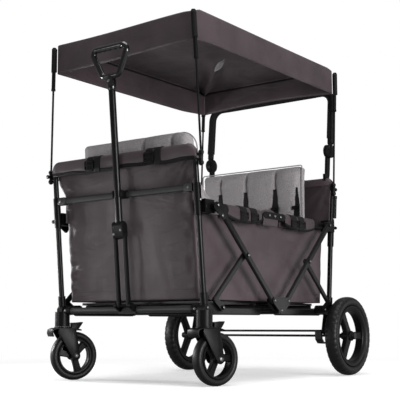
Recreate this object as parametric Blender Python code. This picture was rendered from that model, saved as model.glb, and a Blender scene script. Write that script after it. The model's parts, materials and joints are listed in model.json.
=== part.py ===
"""Folding wagon with a canopy: a fabric tub between two leaning end frames.

The end frames are joined on each side by crossed links that meet under the tub, by hinged top
rails and by a floor in two halves. Front casters, large rear wheels, a telescoping pull handle
in front, a swinging push handle behind. Metres, +Z up, +Y towards the rear, +X to the right.
"""
from math import acos, atan2, cos, pi, radians, sin, tan

import bmesh
import bpy
from mathutils import Matrix, Vector

# Driving dimensions
FRAME_CENTRE_Y = -0.0227     # where the middle between the end frames lies
POST_X = 0.290               # half the spacing of the corner posts
POST_RADIUS = 0.0088
CROSS_TUBE_RADIUS = 0.010
HALF_LENGTH = 0.377          # half the spacing of the end frames, at the bottom tubes
RAIL_Z = 0.225               # height of the bottom cross tubes
HOOP_TOP_Z = 0.700
LEAN = radians(5.4)          # both end frames lean outwards
GAP = 0.0003                 # between neighbours that touch
FRONT, REAR = -1, 1
LEFT, RIGHT = -1, 1

# Side linkage: pin places measured from the middle, for the rear end
LINK_PIN_Y = 0.309           # lower pin, on the corner bracket
LINK_PIN_Z = 0.229
SLIDER_PIN_Z = 0.528
LINK_RADIUS = 0.011
PIN_RADIUS = 0.004
PIN_BORE = 0.0045
PIN_HEAD = 0.0068
INNER_SLAB = (0.3005, 0.3105)     # short links, slider arms
OUTER_SLAB = (0.3108, 0.3228)     # long links
TOP_RAIL_SLAB = (0.2815, 0.2990)
FLOOR_RAIL_SLAB = (0.2615, 0.2755)
BRACKET_SLAB = (0.2762, 0.3002)
FLOOR_PIN_Y = 0.335
FLOOR_PIN_Z = 0.220
RAIL_TIP_Y = 0.036           # the half rails and floors stop short of the middle
FLOOR_TIP_Y = 0.0405

# Sliders and their cross tube
SLIDER_Z = {FRONT: (0.498, 0.5955), REAR: (0.458, 0.5585)}
SLIDER_RADIUS = 0.0115
CROSSBAR_Z = {FRONT: 0.583, REAR: 0.5455}
CROSSBAR_END_X = 0.2497

# Wheels
REAR_WHEEL_X = 0.353
REAR_WHEEL_Y = 0.3972
REAR_WHEEL_RADIUS = 0.1371
REAR_TYRE_WIDTH = 0.0466
CASTER_TRAIL = 0.041
CASTER_RADIUS = 0.0787
CASTER_TYRE_WIDTH = 0.034
CASTER_HOUSING = (0.1735, 0.222)
CASTER_TURN = {LEFT: radians(-24), RIGHT: radians(-15)}     # how far they stand swivelled
AXLE_RADIUS = 0.008
# Radii of rim, opening, hub and bore, half widths of a spoke at hub and rim, widths of rim and hub
REAR_RIM = (0.1040, 0.0880, 0.0240, 0.0066, 0.0180, 0.0130, 0.036, 0.050)
CASTER_RIM = (0.0560, 0.0505, 0.0150, 0.0047, 0.0110, 0.0080, 0.028, 0.036)

# Handles
PULL_OFFSET = 0.0245         # pull handle in front of the front frame's plane
PULL_PIVOT_Z = 0.238
PULL_TUBE_RADIUS = 0.011
COUPLER_Z = (0.4425, 0.4985)
PULL_TUBE_TOP_Z = 0.908
GRIP_TOP_Z = 1.050
PUSH_HINGE_Z = 0.817
PUSH_OFFSET = 0.008
PUSH_TOP_Z = 1.050
HUB_SLAB = (0.2600, 0.2700)
PUSH_DISC_SLAB = (0.2703, 0.2803)

# Fabric parts
TUB_HALF_WIDTH = 0.259
TUB_BOTTOM_Z = 0.252
SIDE_TOP_Z = 0.505
CLOTH = 0.005
CANOPY_HALF_WIDTH = 0.2955
CANOPY_FRONT_Y = -0.4130
CANOPY_REAR_Y = 0.4293
CANOPY_EDGE_Z = 1.113
CANOPY_CROWN = 0.012
VALANCE_DROP = 0.090
HEM_ARCH = 0.018             # how far the rear hem rises in its middle
SEAT_HALF_WIDTH = 0.228
SEAT_Z = 0.415
SEAT_BACK_Y = 0.352          # the upright back's outer face, from the middle
SEAT_BACK_TOP_Z = {FRONT: 0.778, REAR: 0.755}


def post_y(end, z):
    """Y of a post's axis at height z."""
    return end * (HALF_LENGTH + (z - RAIL_Z) * tan(LEAN))


def post_point(end, side, z, offset=0.0):
    """A point on a post's axis; offset moves it outwards along the wagon."""
    return Vector((side * POST_X, post_y(end, z) + end * offset, z))


def lean_direction(end):
    return Vector((0.0, end * sin(LEAN), cos(LEAN)))


# Pins of the linkage in the YZ plane. The slider's pin moves parallel to the post, the lower pin
# is fixed, and the long link's foot moves square to the post, so its middle keeps one distance
# from the lower pin: the short link's length.
PIN_RISE = (SLIDER_PIN_Z - LINK_PIN_Z) / cos(LEAN)
SLIDER_PIN_Y = LINK_PIN_Y + PIN_RISE * sin(LEAN)
FOOT_REACH = 0.268
FOOT_PIN_Y = LINK_PIN_Y - FOOT_REACH * cos(LEAN)
FOOT_PIN_Z = LINK_PIN_Z + FOOT_REACH * sin(LEAN)
MIDDLE_PIN_Y = (SLIDER_PIN_Y + FOOT_PIN_Y) / 2
MIDDLE_PIN_Z = (SLIDER_PIN_Z + FOOT_PIN_Z) / 2


# Shapes
def material(name, colour, roughness, metallic=0.0):
    made = bpy.data.materials.new(name)
    made.use_nodes = True
    shader = made.node_tree.nodes["Principled BSDF"]
    shader.inputs["Base Color"].default_value = (*colour, 1.0)
    shader.inputs["Roughness"].default_value = roughness
    shader.inputs["Metallic"].default_value = metallic
    return made


def box(x, y, z, bevel=0.0):
    """A block between the given low and high x, y and z."""
    bm = bmesh.new()
    size = [high - low for low, high in (x, y, z)]
    middle = [(high + low) / 2 for low, high in (x, y, z)]
    bmesh.ops.create_cube(bm, size=1.0, matrix=Matrix.Translation(middle) @ Matrix.Diagonal((*size, 1.0)))
    if bevel:
        bmesh.ops.bevel(bm, geom=bm.edges[:], offset=bevel, segments=2, profile=0.5,
                        affect="EDGES", material=-1)
    return bm


def rod(start, end, radius, sides=16, end_radius=None):
    """A cylinder or cone between two points."""
    start, end = Vector(start), Vector(end)
    turn = Vector((0, 0, 1)).rotation_difference(end - start).to_matrix().to_4x4()
    bm = bmesh.new()
    bmesh.ops.create_cone(bm, cap_ends=True, segments=sides, radius1=radius,
                          radius2=radius if end_radius is None else end_radius,
                          depth=(end - start).length,
                          matrix=Matrix.Translation((start + end) / 2) @ turn)
    return bm


def rounded_path(points, bend, steps=5, closed=False):
    """The points of a line whose corners are arcs of the given radius."""
    points = [Vector(point) for point in points]
    path = []
    for index, corner in enumerate(points):
        if not closed and index in (0, len(points) - 1):
            path.append(corner)
            continue
        to_last = (points[index - 1] - corner).normalized()
        to_next = (points[(index + 1) % len(points)] - corner).normalized()
        half = to_last.angle(to_next) / 2
        centre = corner + (to_last + to_next).normalized() * (bend / sin(half))
        first = corner + to_last * (bend / tan(half)) - centre
        last = corner + to_next * (bend / tan(half)) - centre
        sweep = first.angle(last)
        for step in range(steps + 1):
            share = step / steps
            path.append(centre + (first * sin((1 - share) * sweep) + last * sin(share * sweep)) / sin(sweep))
    return path


def bent_tube(points, radius, bend, closed=False, resolution=2, steps=5):
    """A tube along a line with round corners, its ends filled."""
    curve = bpy.data.curves.new("path", "CURVE")
    curve.dimensions = "3D"
    curve.bevel_depth = radius
    curve.bevel_resolution = resolution
    curve.use_fill_caps = not closed
    path = rounded_path(points, bend, steps, closed)
    spline = curve.splines.new("POLY")
    spline.points.add(len(path) - 1)
    for point, place in zip(spline.points, path):
        point.co = (*place, 1.0)
    spline.use_cyclic_u = closed
    carrier = bpy.data.objects.new("path", curve)
    mesh = bpy.data.meshes.new_from_object(carrier)
    bm = bmesh.new()
    bm.from_mesh(mesh)
    bmesh.ops.remove_doubles(bm, verts=bm.verts[:], dist=0.00001)
    bpy.data.objects.remove(carrier)
    bpy.data.curves.remove(curve)
    bpy.data.meshes.remove(mesh)
    return bm


def capsule(start, start_radius, end, end_radius, steps=5):
    """The outline round two circles in the YZ plane, as (y, z) points."""
    direction = Vector((end[0] - start[0], end[1] - start[1]))
    heading = atan2(direction.y, direction.x)
    tilt = acos((start_radius - end_radius) / direction.length)
    outline = []
    for centre, radius, first, last in ((end, end_radius, -tilt, tilt),
                                        (start, start_radius, tilt, 2 * pi - tilt)):
        for step in range(steps + 1):
            angle = heading + first + (last - first) * step / steps
            outline.append((centre[0] + radius * cos(angle), centre[1] + radius * sin(angle)))
    return outline


def wrapped(circles, steps=12):
    """The outline of a band stretched round several circles, as (y, z) points."""
    headings = [2 * pi * step / steps for step in range(steps)]
    points = sorted({(round(y + radius * cos(heading), 6), round(z + radius * sin(heading), 6))
                     for (y, z), radius in circles for heading in headings})

    def half(ordered):
        chain = []
        for point in ordered:
            while len(chain) > 1 and ((chain[-1][0] - chain[-2][0]) * (point[1] - chain[-2][1])
                                      - (chain[-1][1] - chain[-2][1]) * (point[0] - chain[-2][0])) <= 1e-12:
                chain.pop()
            chain.append(point)
        return chain[:-1]

    return half(points) + half(points[::-1])


def plate(outline, x, bevel=0.0, segments=1):
    """A plate with the given (y, z) outline between two x; both rims may be rounded."""
    bm = bmesh.new()
    face = bm.faces.new([bm.verts.new((x[0], y, z)) for y, z in outline])
    moved = bmesh.ops.extrude_face_region(bm, geom=[face])["geom"]
    bmesh.ops.translate(bm, vec=(x[1] - x[0], 0, 0),
                        verts=[item for item in moved if isinstance(item, bmesh.types.BMVert)])
    bmesh.ops.recalc_face_normals(bm, faces=bm.faces[:])
    if bevel:
        rims = [edge for edge in bm.edges if abs(edge.verts[0].co.x - edge.verts[1].co.x) < 1e-6]
        bmesh.ops.bevel(bm, geom=rims, offset=bevel, segments=segments, profile=0.5,
                        affect="EDGES", material=-1)
    return bm


def slab_on(side, slab):
    """Low and high x of a slab on one side of the wagon."""
    return tuple(sorted((side * slab[0], side * slab[1])))


def turned(profile, centre, sides):
    """A ring turned about X from a closed (x, radius) profile; a flat of its rim points down."""
    bm = bmesh.new()
    centre = Vector(centre)
    start = Matrix.Rotation(pi / sides, 3, "X")
    ring = [bm.verts.new(centre + start @ Vector((x, 0.0, -radius / cos(pi / sides))))
            for x, radius in profile]
    edges = [bm.edges.new((ring[index - 1], ring[index])) for index in range(len(ring))]
    bmesh.ops.spin(bm, geom=ring + edges, cent=centre, axis=(1, 0, 0), angle=2 * pi, steps=sides,
                   use_merge=True, use_normal_flip=False, use_duplicate=False)
    bmesh.ops.remove_doubles(bm, verts=bm.verts[:], dist=0.00001)
    bmesh.ops.recalc_face_normals(bm, faces=bm.faces[:])
    return bm


def piece(name, shapes, finish, holder=None, cuts=(), turn=None):
    """Join the shapes, take the cuts away and keep the result as one named object. Turn is a
    matrix that moves the finished shape."""
    objects = []
    for index, bm in enumerate([*shapes, *cuts]):
        mesh = bpy.data.meshes.new(f"{name}_{index}")
        bm.to_mesh(mesh)
        bm.free()
        made = bpy.data.objects.new(f"{name}_{index}", mesh)
        bpy.context.scene.collection.objects.link(made)
        objects.append(made)
    body, others = objects[0], objects[1:]
    for index, other in enumerate(others):
        joined = body.modifiers.new(f"step_{index}", "BOOLEAN")
        joined.operation = "UNION" if index < len(shapes) - 1 else "DIFFERENCE"
        joined.solver = "EXACT"
        joined.object = other
    if others:
        bpy.context.view_layer.update()
        evaluated = body.evaluated_get(bpy.context.evaluated_depsgraph_get())
        body.modifiers.clear()
        body.data = bpy.data.meshes.new_from_object(evaluated)
        for other in others:
            bpy.data.objects.remove(other)
    if turn:
        body.data.transform(turn)
    body.name = name
    body.data.name = name
    body.data.materials.clear()
    body.data.materials.append(finish)
    body.data.shade_smooth()
    body.data.set_sharp_from_angle(angle=radians(38))
    if holder:
        body.parent = holder
        body.matrix_parent_inverse = Matrix.Translation(holder.location).inverted()
    return body


def joint(name, place, holder=None):
    """An empty on a joint's axis, which carries the pieces that move with it."""
    empty = bpy.data.objects.new(name, None)
    empty.empty_display_size = 0.03
    bpy.context.scene.collection.objects.link(empty)
    if holder:
        empty.parent = holder
        empty.matrix_parent_inverse = Matrix.Translation(-holder.location)
    empty.location = place
    return empty


def side_name(side):
    return "L" if side == LEFT else "R"


for old in list(bpy.data.objects):
    bpy.data.objects.remove(old)

FRAME_PAINT = material("satin black tube", (0.020, 0.021, 0.020), 0.38, 0.2)
CROSSBAR_PAINT = material("crossbar paint", (0.060, 0.066, 0.060), 0.42, 0.3)
PLASTIC = material("black moulded plastic", (0.016, 0.016, 0.016), 0.48)
GLOSS = material("gloss black grip", (0.010, 0.010, 0.010), 0.22)
FOAM = material("black foam", (0.018, 0.018, 0.018), 0.85)
TYRE = material("tyre rubber", (0.030, 0.031, 0.032), 0.72)
STEEL = material("dark axle steel", (0.10, 0.10, 0.10), 0.35, 0.8)
CLOTH_DARK = material("taupe grey fabric", (0.075, 0.062, 0.064), 0.85)
CLOTH_LIGHT = material("heather grey padding", (0.30, 0.28, 0.29), 0.90)


# Joint empties, as the fold carries them: front frame, short link, long link, slider and foot,
# then the same again backwards to the rear frame.
def pin_place(end, y, z):
    return Vector((0.0, end * y, z))


short_front = joint("axis_short_links_front", pin_place(FRONT, LINK_PIN_Y, LINK_PIN_Z))
long_front = joint("axis_long_links_front", pin_place(FRONT, MIDDLE_PIN_Y, MIDDLE_PIN_Z), short_front)
slider_front = joint("axis_slider_front", pin_place(FRONT, SLIDER_PIN_Y, SLIDER_PIN_Z), long_front)
centre_foot = joint("axis_centre_frame", pin_place(FRONT, FOOT_PIN_Y, FOOT_PIN_Z), long_front)
long_rear = joint("axis_long_links_rear", pin_place(REAR, FOOT_PIN_Y, FOOT_PIN_Z), centre_foot)
short_rear = joint("axis_short_links_rear", pin_place(REAR, MIDDLE_PIN_Y, MIDDLE_PIN_Z), long_rear)
rear_frame = joint("axis_rear_frame", pin_place(REAR, LINK_PIN_Y, LINK_PIN_Z), short_rear)
slider_rear = joint("axis_slider_rear", pin_place(REAR, SLIDER_PIN_Y, SLIDER_PIN_Z), long_rear)
top_rails = {FRONT: joint("axis_top_rails_front", pin_place(FRONT, SLIDER_PIN_Y, SLIDER_PIN_Z), slider_front),
             REAR: joint("axis_top_rails_rear", pin_place(REAR, SLIDER_PIN_Y, SLIDER_PIN_Z), slider_rear)}
floors = {FRONT: joint("axis_floor_front", pin_place(FRONT, FLOOR_PIN_Y, FLOOR_PIN_Z)),
          REAR: joint("axis_floor_rear", pin_place(REAR, FLOOR_PIN_Y, FLOOR_PIN_Z), rear_frame)}
FRAME_HOLDER = {FRONT: None, REAR: rear_frame}
SLIDER_HOLDER = {FRONT: slider_front, REAR: slider_rear}
LONG_HOLDER = {FRONT: long_front, REAR: long_rear}
SHORT_HOLDER = {FRONT: short_front, REAR: short_rear}
END_NAME = {FRONT: "front", REAR: "rear"}


# End hoop: one tube bent from the left post over the top into the right post
HOOP_BOTTOM_Z = 0.2365
HOOP_BEND = 0.022
BORE = 0.0006


def end_hoop(end):
    corners = [post_point(end, LEFT, HOOP_BOTTOM_Z), post_point(end, LEFT, HOOP_TOP_Z),
               post_point(end, RIGHT, HOOP_TOP_Z), post_point(end, RIGHT, HOOP_BOTTOM_Z)]
    piece(f"{END_NAME[end]}_hoop", [bent_tube(corners, POST_RADIUS, HOOP_BEND, resolution=3)],
          FRAME_PAINT, FRAME_HOLDER[end])


# Corner bracket: moulded socket for post and bottom tube, with the pins of link and floor rail
SOCKET_RADIUS = 0.0120
SOCKET_TOP_Z = 0.273
ARM_RADIUS = 0.0165
CROSS_TUBE_END_X = 0.2477


def corner_bracket(end, side):
    y = end * HALF_LENGTH
    x = side * POST_X
    foot_radius = 0.0245
    arm = capsule((y, RAIL_Z + 0.001), ARM_RADIUS, (end * LINK_PIN_Y, LINK_PIN_Z), ARM_RADIUS * 0.9)
    shapes = [
        plate(arm, slab_on(side, BRACKET_SLAB)),
        rod(post_point(end, side, 0.214), post_point(end, side, SOCKET_TOP_Z), SOCKET_RADIUS, 16),
        rod((x, y, RAIL_Z), (side * (CROSS_TUBE_END_X + GAP), y, RAIL_Z), 0.0135, 12),
        rod((side * 0.299, end * LINK_PIN_Y, LINK_PIN_Z), (side * 0.3135, end * LINK_PIN_Y, LINK_PIN_Z),
            PIN_RADIUS, 8),
        rod((side * 0.3108, end * LINK_PIN_Y, LINK_PIN_Z), (side * 0.3135, end * LINK_PIN_Y, LINK_PIN_Z),
            PIN_HEAD, 10),
        rod((side * 0.278, end * FLOOR_PIN_Y, FLOOR_PIN_Z), (side * 0.2585, end * FLOOR_PIN_Y, FLOOR_PIN_Z),
            PIN_RADIUS, 8),
        rod((side * 0.2611, end * FLOOR_PIN_Y, FLOOR_PIN_Z), (side * 0.2585, end * FLOOR_PIN_Y, FLOOR_PIN_Z),
            PIN_HEAD, 10),
    ]
    cuts = [rod(post_point(end, side, 0.236), post_point(end, side, 0.300), POST_RADIUS + BORE, 16)]
    if end == FRONT:
        shapes.append(rod((x, y, CASTER_HOUSING[0]), (x, y, CASTER_HOUSING[1]), foot_radius, 20))
        cuts.append(rod((x, y, CASTER_HOUSING[0] - 0.01), (x, y, 0.205), STEM_RADIUS + BORE, 12))
    else:
        slab = slab_on(side, BRACKET_SLAB)
        axle = (REAR_WHEEL_Y, REAR_WHEEL_RADIUS)
        thin = (slab[0] + 0.001, slab[1] - 0.001)
        drop = wrapped([((y, RAIL_Z), 0.0160), (axle, 0.0150), ((BRAKE_Y, BRAKE_Z), 0.0100)])
        shapes.append(plate(drop, thin))
        cuts.append(rod((side * 0.27, *axle), (side * 0.31, *axle), AXLE_RADIUS + BORE, 16))
        cuts.append(rod((side * 0.27, BRAKE_Y, BRAKE_Z), (side * 0.31, BRAKE_Y, BRAKE_Z),
                        PIN_BORE + 0.0002, 8))
    piece(f"{END_NAME[end]}_corner_bracket_{side_name(side)}", shapes, PLASTIC, FRAME_HOLDER[end], cuts)


# Bottom cross tube; the front one carries the forked mount of the pull handle
def bottom_crossbar(end):
    y = end * HALF_LENGTH
    shapes = [rod((-CROSS_TUBE_END_X, y, RAIL_Z), (CROSS_TUBE_END_X, y, RAIL_Z), CROSS_TUBE_RADIUS, 16)]
    if end == FRONT:
        pivot = pull_point(PULL_PIVOT_Z)
        shapes.append(box((-0.0350, 0.0350), (y - 0.0115, y + 0.0115), (0.2130, 0.2370)))
        for side in (LEFT, RIGHT):
            ear = capsule((y, RAIL_Z), 0.0105, (pivot.y, pivot.z), 0.0095)
            shapes.append(plate(ear, slab_on(side, (0.0262, 0.0325))))
            shapes.append(rod((side * 0.032, pivot.y, pivot.z), (side * 0.0365, pivot.y, pivot.z),
                              PIN_HEAD, 10))
        shapes.append(rod((-0.030, pivot.y, pivot.z), (0.030, pivot.y, pivot.z), PIN_RADIUS, 8))
    piece(f"{END_NAME[end]}_bottom_crossbar", shapes, FRAME_PAINT, FRAME_HOLDER[end])


# Canopy pole: a thin rod in a clamp on the post, with the long sleeve that holds the canopy corner
POLE_X = 0.3115
POLE_TOP = {FRONT: (0.3035, -0.4215), REAR: (0.3035, 0.4375)}
POLE_TOP_Z = 1.111
POLE_FOOT_Z = 0.650
SLEEVE_FOOT_Z = 0.962


def canopy_pole(end, side):
    foot = Vector((side * POLE_X, post_y(end, 0.668), POLE_FOOT_Z))
    top = Vector((side * POLE_TOP[end][0], POLE_TOP[end][1], POLE_TOP_Z))

    def along(z):
        return foot.lerp(top, (z - foot.z) / (top.z - foot.z))

    stem_y = post_y(end, 0.669)
    shapes = [
        rod(foot, along(0.980), 0.0035, 8),
        rod(foot, along(0.686), 0.0060, 12),
        rod(along(SLEEVE_FOOT_Z), top, 0.0067, 12),
        rod(along(SLEEVE_FOOT_Z), along(SLEEVE_FOOT_Z + 0.006), 0.0076, 12),
        box(slab_on(side, (POST_X + POST_RADIUS + GAP, 0.308)), (stem_y - 0.0042, stem_y + 0.0042),
            (0.658, 0.681)),
    ]
    cuts = [rod(post_point(end, side, 0.63), post_point(end, side, 0.71), POST_RADIUS + BORE, 24)]
    piece(f"{END_NAME[end]}_canopy_pole_{side_name(side)}", shapes, PLASTIC, FRAME_HOLDER[end], cuts)


# Slider: a sleeve on the post, open on its outer side, with the head that carries the link pin
def slider(end, side):
    pin = (end * SLIDER_PIN_Y, SLIDER_PIN_Z)
    axis_y = post_y(end, SLIDER_PIN_Z)
    low, high, bar_z = *SLIDER_Z[end], CROSSBAR_Z[end]
    bar_y = post_y(end, bar_z)
    head = capsule((axis_y - end * 0.030, SLIDER_PIN_Z), 0.017, pin, 0.0125)
    near, far = axis_y - end * 0.0090, axis_y - end * 0.0555
    shapes = [
        rod(post_point(end, side, low), post_point(end, side, high), SLIDER_RADIUS, 20),
        box(slab_on(side, (0.2795, 0.3095)), tuple(sorted((near, far))), (0.508, 0.548)),
        plate(head, slab_on(side, INNER_SLAB), bevel=0.0015),
        box(slab_on(side, (CROSSBAR_END_X + GAP, 0.279)), (bar_y - 0.0085, bar_y + 0.0085),
            (bar_z - 0.0125, bar_z + 0.0125)),
        rod((side * 0.2775, *pin), (side * 0.3255, *pin), PIN_RADIUS, 8),
        rod((side * 0.3231, *pin), (side * 0.3258, *pin), PIN_HEAD, 10),
        rod((side * 0.2770, *pin), (side * 0.2811, *pin), PIN_HEAD, 10),
    ]
    slot = box((0.0070, 0.0200), (-0.0062, 0.0062), (-0.10, 0.10))
    centre = post_point(end, side, (low + high) / 2)
    turn = Vector((0, 0, 1)).rotation_difference(lean_direction(end)).to_matrix().to_4x4()
    mirror = Matrix.Diagonal((side, 1, 1, 1))
    bmesh.ops.transform(slot, matrix=Matrix.Translation(centre) @ turn @ mirror, verts=slot.verts[:])
    bmesh.ops.recalc_face_normals(slot, faces=slot.faces[:])
    cuts = [rod(post_point(end, side, 0.44), post_point(end, side, 0.62), POST_RADIUS + 0.0008, 20), slot]
    piece(f"{END_NAME[end]}_slider_{side_name(side)}", shapes, PLASTIC, SLIDER_HOLDER[end], cuts)


# Slider cross tube: a flat oval tube that makes both sliders run together; the front one has the
# fork that holds the pull handle upright
def slider_crossbar(end):
    z = CROSSBAR_Z[end]
    y = post_y(end, z)
    oval = capsule((y, z - 0.0045), 0.0055, (y, z + 0.0045), 0.0055)
    shapes = [plate(oval, (-CROSSBAR_END_X, CROSSBAR_END_X))]
    if end == FRONT:
        shapes.append(box((-0.022, 0.022), (y - 0.0085, y + 0.0020), (z - 0.0125, z + 0.0125)))
        for side in (LEFT, RIGHT):
            shapes.append(box(slab_on(side, (0.0130, 0.0190)), (y - 0.0300, y - 0.0060),
                              (z - 0.0105, z + 0.0105)))
    piece(f"{END_NAME[end]}_slider_crossbar", shapes, CROSSBAR_PAINT, SLIDER_HOLDER[end])


def bore(side, slab, place):
    return rod((side * (slab[0] - 0.01), *place), (side * (slab[1] + 0.01), *place), PIN_BORE, 10)


# Long link: flat-oval tube from the slider's pin down to the centre foot
def long_link(end, side):
    top = (end * SLIDER_PIN_Y, SLIDER_PIN_Z)
    middle = (end * MIDDLE_PIN_Y, MIDDLE_PIN_Z)
    foot = (end * FOOT_PIN_Y, FOOT_PIN_Z)
    bar = plate(capsule(top, LINK_RADIUS, foot, LINK_RADIUS), slab_on(side, OUTER_SLAB), 0.0038)
    piece(f"{END_NAME[end]}_long_link_{side_name(side)}", [bar], FRAME_PAINT, LONG_HOLDER[end],
          [bore(side, OUTER_SLAB, place) for place in (top, middle, foot)])


# Short link: a cranked lever. Its tube runs from the long link's middle to the corner, and a short
# foot leads from there back along the bracket to the pin.
SHORT_TIP = (0.345, 0.253)


def short_link(end, side):
    middle = (end * MIDDLE_PIN_Y, MIDDLE_PIN_Z)
    tip = (end * SHORT_TIP[0], SHORT_TIP[1])
    pin = (end * LINK_PIN_Y, LINK_PIN_Z)
    slab = slab_on(side, INNER_SLAB)
    shapes = [
        plate(capsule(middle, LINK_RADIUS, tip, 0.0095), slab, 0.0035),
        plate(capsule(pin, 0.0105, tip, 0.0088), (slab[0] + 0.001, slab[1] - 0.001)),
        rod((side * 0.3095, *middle), (side * 0.3255, *middle), PIN_RADIUS, 8),
        rod((side * 0.3231, *middle), (side * 0.3258, *middle), PIN_HEAD, 10),
    ]
    piece(f"{END_NAME[end]}_short_link_{side_name(side)}", shapes, FRAME_PAINT, SHORT_HOLDER[end],
          [bore(side, INNER_SLAB, pin)])


# Centre frame: a cross tube under the tub with a forked foot at each end for the long links
def centre_frame():
    shapes = [rod((-0.302, 0, 0.2215), (0.302, 0, 0.2215), 0.009, 12)]
    foot = (FOOT_PIN_Y, FOOT_PIN_Z)
    cheek = wrapped([((0.0, 0.2225), 0.0125), (foot, 0.0110), ((-foot[0], foot[1]), 0.0110)])
    for side in (LEFT, RIGHT):
        for slab in (INNER_SLAB, (0.3231, 0.3262)):
            shapes.append(plate(cheek, slab_on(side, slab)))
        shapes.append(box(slab_on(side, (0.3020, 0.3250)), (-0.0190, 0.0190), (0.2130, 0.2290)))
        for end in (FRONT, REAR):
            for start, stop, radius, sides in ((0.3095, 0.3250, PIN_RADIUS, 8), (0.3255, 0.3275, 0.0055, 10)):
                shapes.append(rod((side * start, end * foot[0], foot[1]), (side * stop, end * foot[0], foot[1]),
                                  radius, sides))
    piece("centre_frame", shapes, FRAME_PAINT, centre_foot)


# Half top rail: hinged on the slider pin, its tip meets the other half in the centre hinge
def top_rail(end, side):
    pin = (end * SLIDER_PIN_Y, SLIDER_PIN_Z)
    tip = (end * (RAIL_TIP_Y + 0.0095), SLIDER_PIN_Z)
    bar = plate(capsule(pin, 0.0108, tip, 0.0095), slab_on(side, TOP_RAIL_SLAB), 0.0042)
    piece(f"{END_NAME[end]}_top_rail_{side_name(side)}", [bar], FRAME_PAINT, top_rails[end],
          [bore(side, TOP_RAIL_SLAB, pin)])


# Centre hinge cover of the top rails: a moulded channel riveted to the front half rail
def top_hinge(side):
    slab = slab_on(side, (0.2993, 0.3040))
    cover = capsule((-0.056, 0.531), 0.0115, (0.056, 0.531), 0.0115, steps=5)
    shapes = [plate(cover, slab, bevel=0.0012)]
    shapes += [rod((side * 0.3030, y, 0.531), (side * 0.3052, y, 0.531), 0.0045, 8)
               for y in (-0.034, 0.0, 0.034)]
    piece(f"top_hinge_{side_name(side)}", shapes, PLASTIC, top_rails[FRONT])


# Half floor: two side rails, two cross tubes and the board that carries the tub's bottom
def floor_half(end):
    rail = [(end * FLOOR_PIN_Y, FLOOR_PIN_Z), (end * (FLOOR_TIP_Y + 0.012), FLOOR_PIN_Z)]
    shapes = [box((-0.250, 0.250), tuple(sorted((end * 0.325, end * FLOOR_TIP_Y))), (0.2445, 0.2505))]
    for side in (LEFT, RIGHT):
        shapes.append(plate(capsule(rail[0], 0.012, rail[1], 0.012), slab_on(side, FLOOR_RAIL_SLAB), 0.0036))
    for y in (0.285, 0.075):
        shapes.append(rod((-0.266, end * y, 0.2380), (0.266, end * y, 0.2380), 0.0072, 10))
    cuts = [bore(side, FLOOR_RAIL_SLAB, rail[0]) for side in (LEFT, RIGHT)]
    piece(f"{END_NAME[end]}_floor", shapes, FRAME_PAINT, floors[end], cuts)


# Casters: a moulded fork on a stem, trailing behind the post, with a spoked wheel
STEM_RADIUS = 0.006


def wheel_rim(name, centre, sizes, first, holder, turn=None):
    """A ring, a hub and three spokes; first is the angle of one spoke."""
    outer, inner, hub, hole, root, tip, width, hub_width = sizes
    x, y, z = centre
    ring = [(-width / 2, inner), (-width / 2, outer), (width / 2, outer), (width / 2, inner)]
    shapes = [turned(ring, centre, 28), rod((x - hub_width / 2, y, z), (x + hub_width / 2, y, z), hub, 16)]
    reach = inner - tip + 0.004
    for angle in (first, first + 2 * pi / 3, first + 4 * pi / 3):
        end = (y + reach * cos(angle), z + reach * sin(angle))
        spoke = capsule((y, z), root, end, tip, steps=3)
        shapes.append(plate(spoke, (x - width * 0.28, x + width * 0.28)))
    cuts = [rod((x - hub_width, y, z), (x + hub_width, y, z), hole, 12)]
    return piece(name, shapes, PLASTIC, holder, cuts, turn)


def tyre(name, centre, radius, bead, width, sides, holder, turn=None):
    """A tyre with a rounded tread, turned from its section."""
    half = width / 2
    crown = [(half * cos(angle), radius - half * 0.72 * (1 - sin(angle)))
             for angle in (radians(value) for value in range(10, 171, 32))]
    section = [(-half * 0.8, bead), (half * 0.8, bead), *crown]
    return piece(name, [turned(section, centre, sides)], TYRE, holder, turn=turn)


def caster(side):
    x, y = side * POST_X, -HALF_LENGTH
    axle = (y + CASTER_TRAIL, CASTER_RADIUS)
    post = Vector((x, y, 0.0))
    turn = Matrix.Translation(post) @ Matrix.Rotation(CASTER_TURN[side], 4, "Z") @ Matrix.Translation(-post)
    centre = Vector((x, *axle))
    swivel = joint(f"axis_caster_swivel_{side_name(side)}", Vector((x, y, CASTER_HOUSING[0])))
    spin = joint(f"axis_caster_wheel_{side_name(side)}", turn @ centre, swivel)
    top = CASTER_HOUSING[0] - GAP
    lever = [(y + 0.020, 0.1608), (y + 0.047, 0.1620), (y + 0.061, 0.1865), (y + 0.056, 0.1885),
             (y + 0.041, 0.1725), (y + 0.020, 0.1725)]
    shapes = [box((x - 0.0260, x + 0.0260), (y - 0.0215, y + 0.024), (0.1603, top), bevel=0.003),
              rod((x, y, 0.165), (x, y, 0.2040), STEM_RADIUS, 10),
              plate(lever, (x - 0.011, x + 0.011)),
              rod((x - 0.0300, *axle), (x + 0.0300, *axle), 0.0042, 8)]
    cheek = wrapped([((y - 0.0060, 0.1570), 0.0155), ((y + 0.0140, 0.1570), 0.0155), (axle, 0.0125)])
    for sign in (-1, 1):
        shapes.append(plate(cheek, tuple(sorted((x + sign * 0.0200, x + sign * 0.0265)))))
    piece(f"caster_fork_{side_name(side)}", shapes, PLASTIC, swivel, turn=turn)
    wheel_rim(f"caster_rim_{side_name(side)}", centre, CASTER_RIM, -pi / 2 if side == LEFT else 0.0, spin, turn)
    tyre(f"caster_tyre_{side_name(side)}", centre, CASTER_RADIUS, CASTER_RIM[0] / cos(pi / 28) + 2 * GAP,
         CASTER_TYRE_WIDTH, 28, spin, turn)


# Rear axle, wheels and the foot brake's bar
BRAKE_Y = 0.352
BRAKE_Z = 0.155


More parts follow.
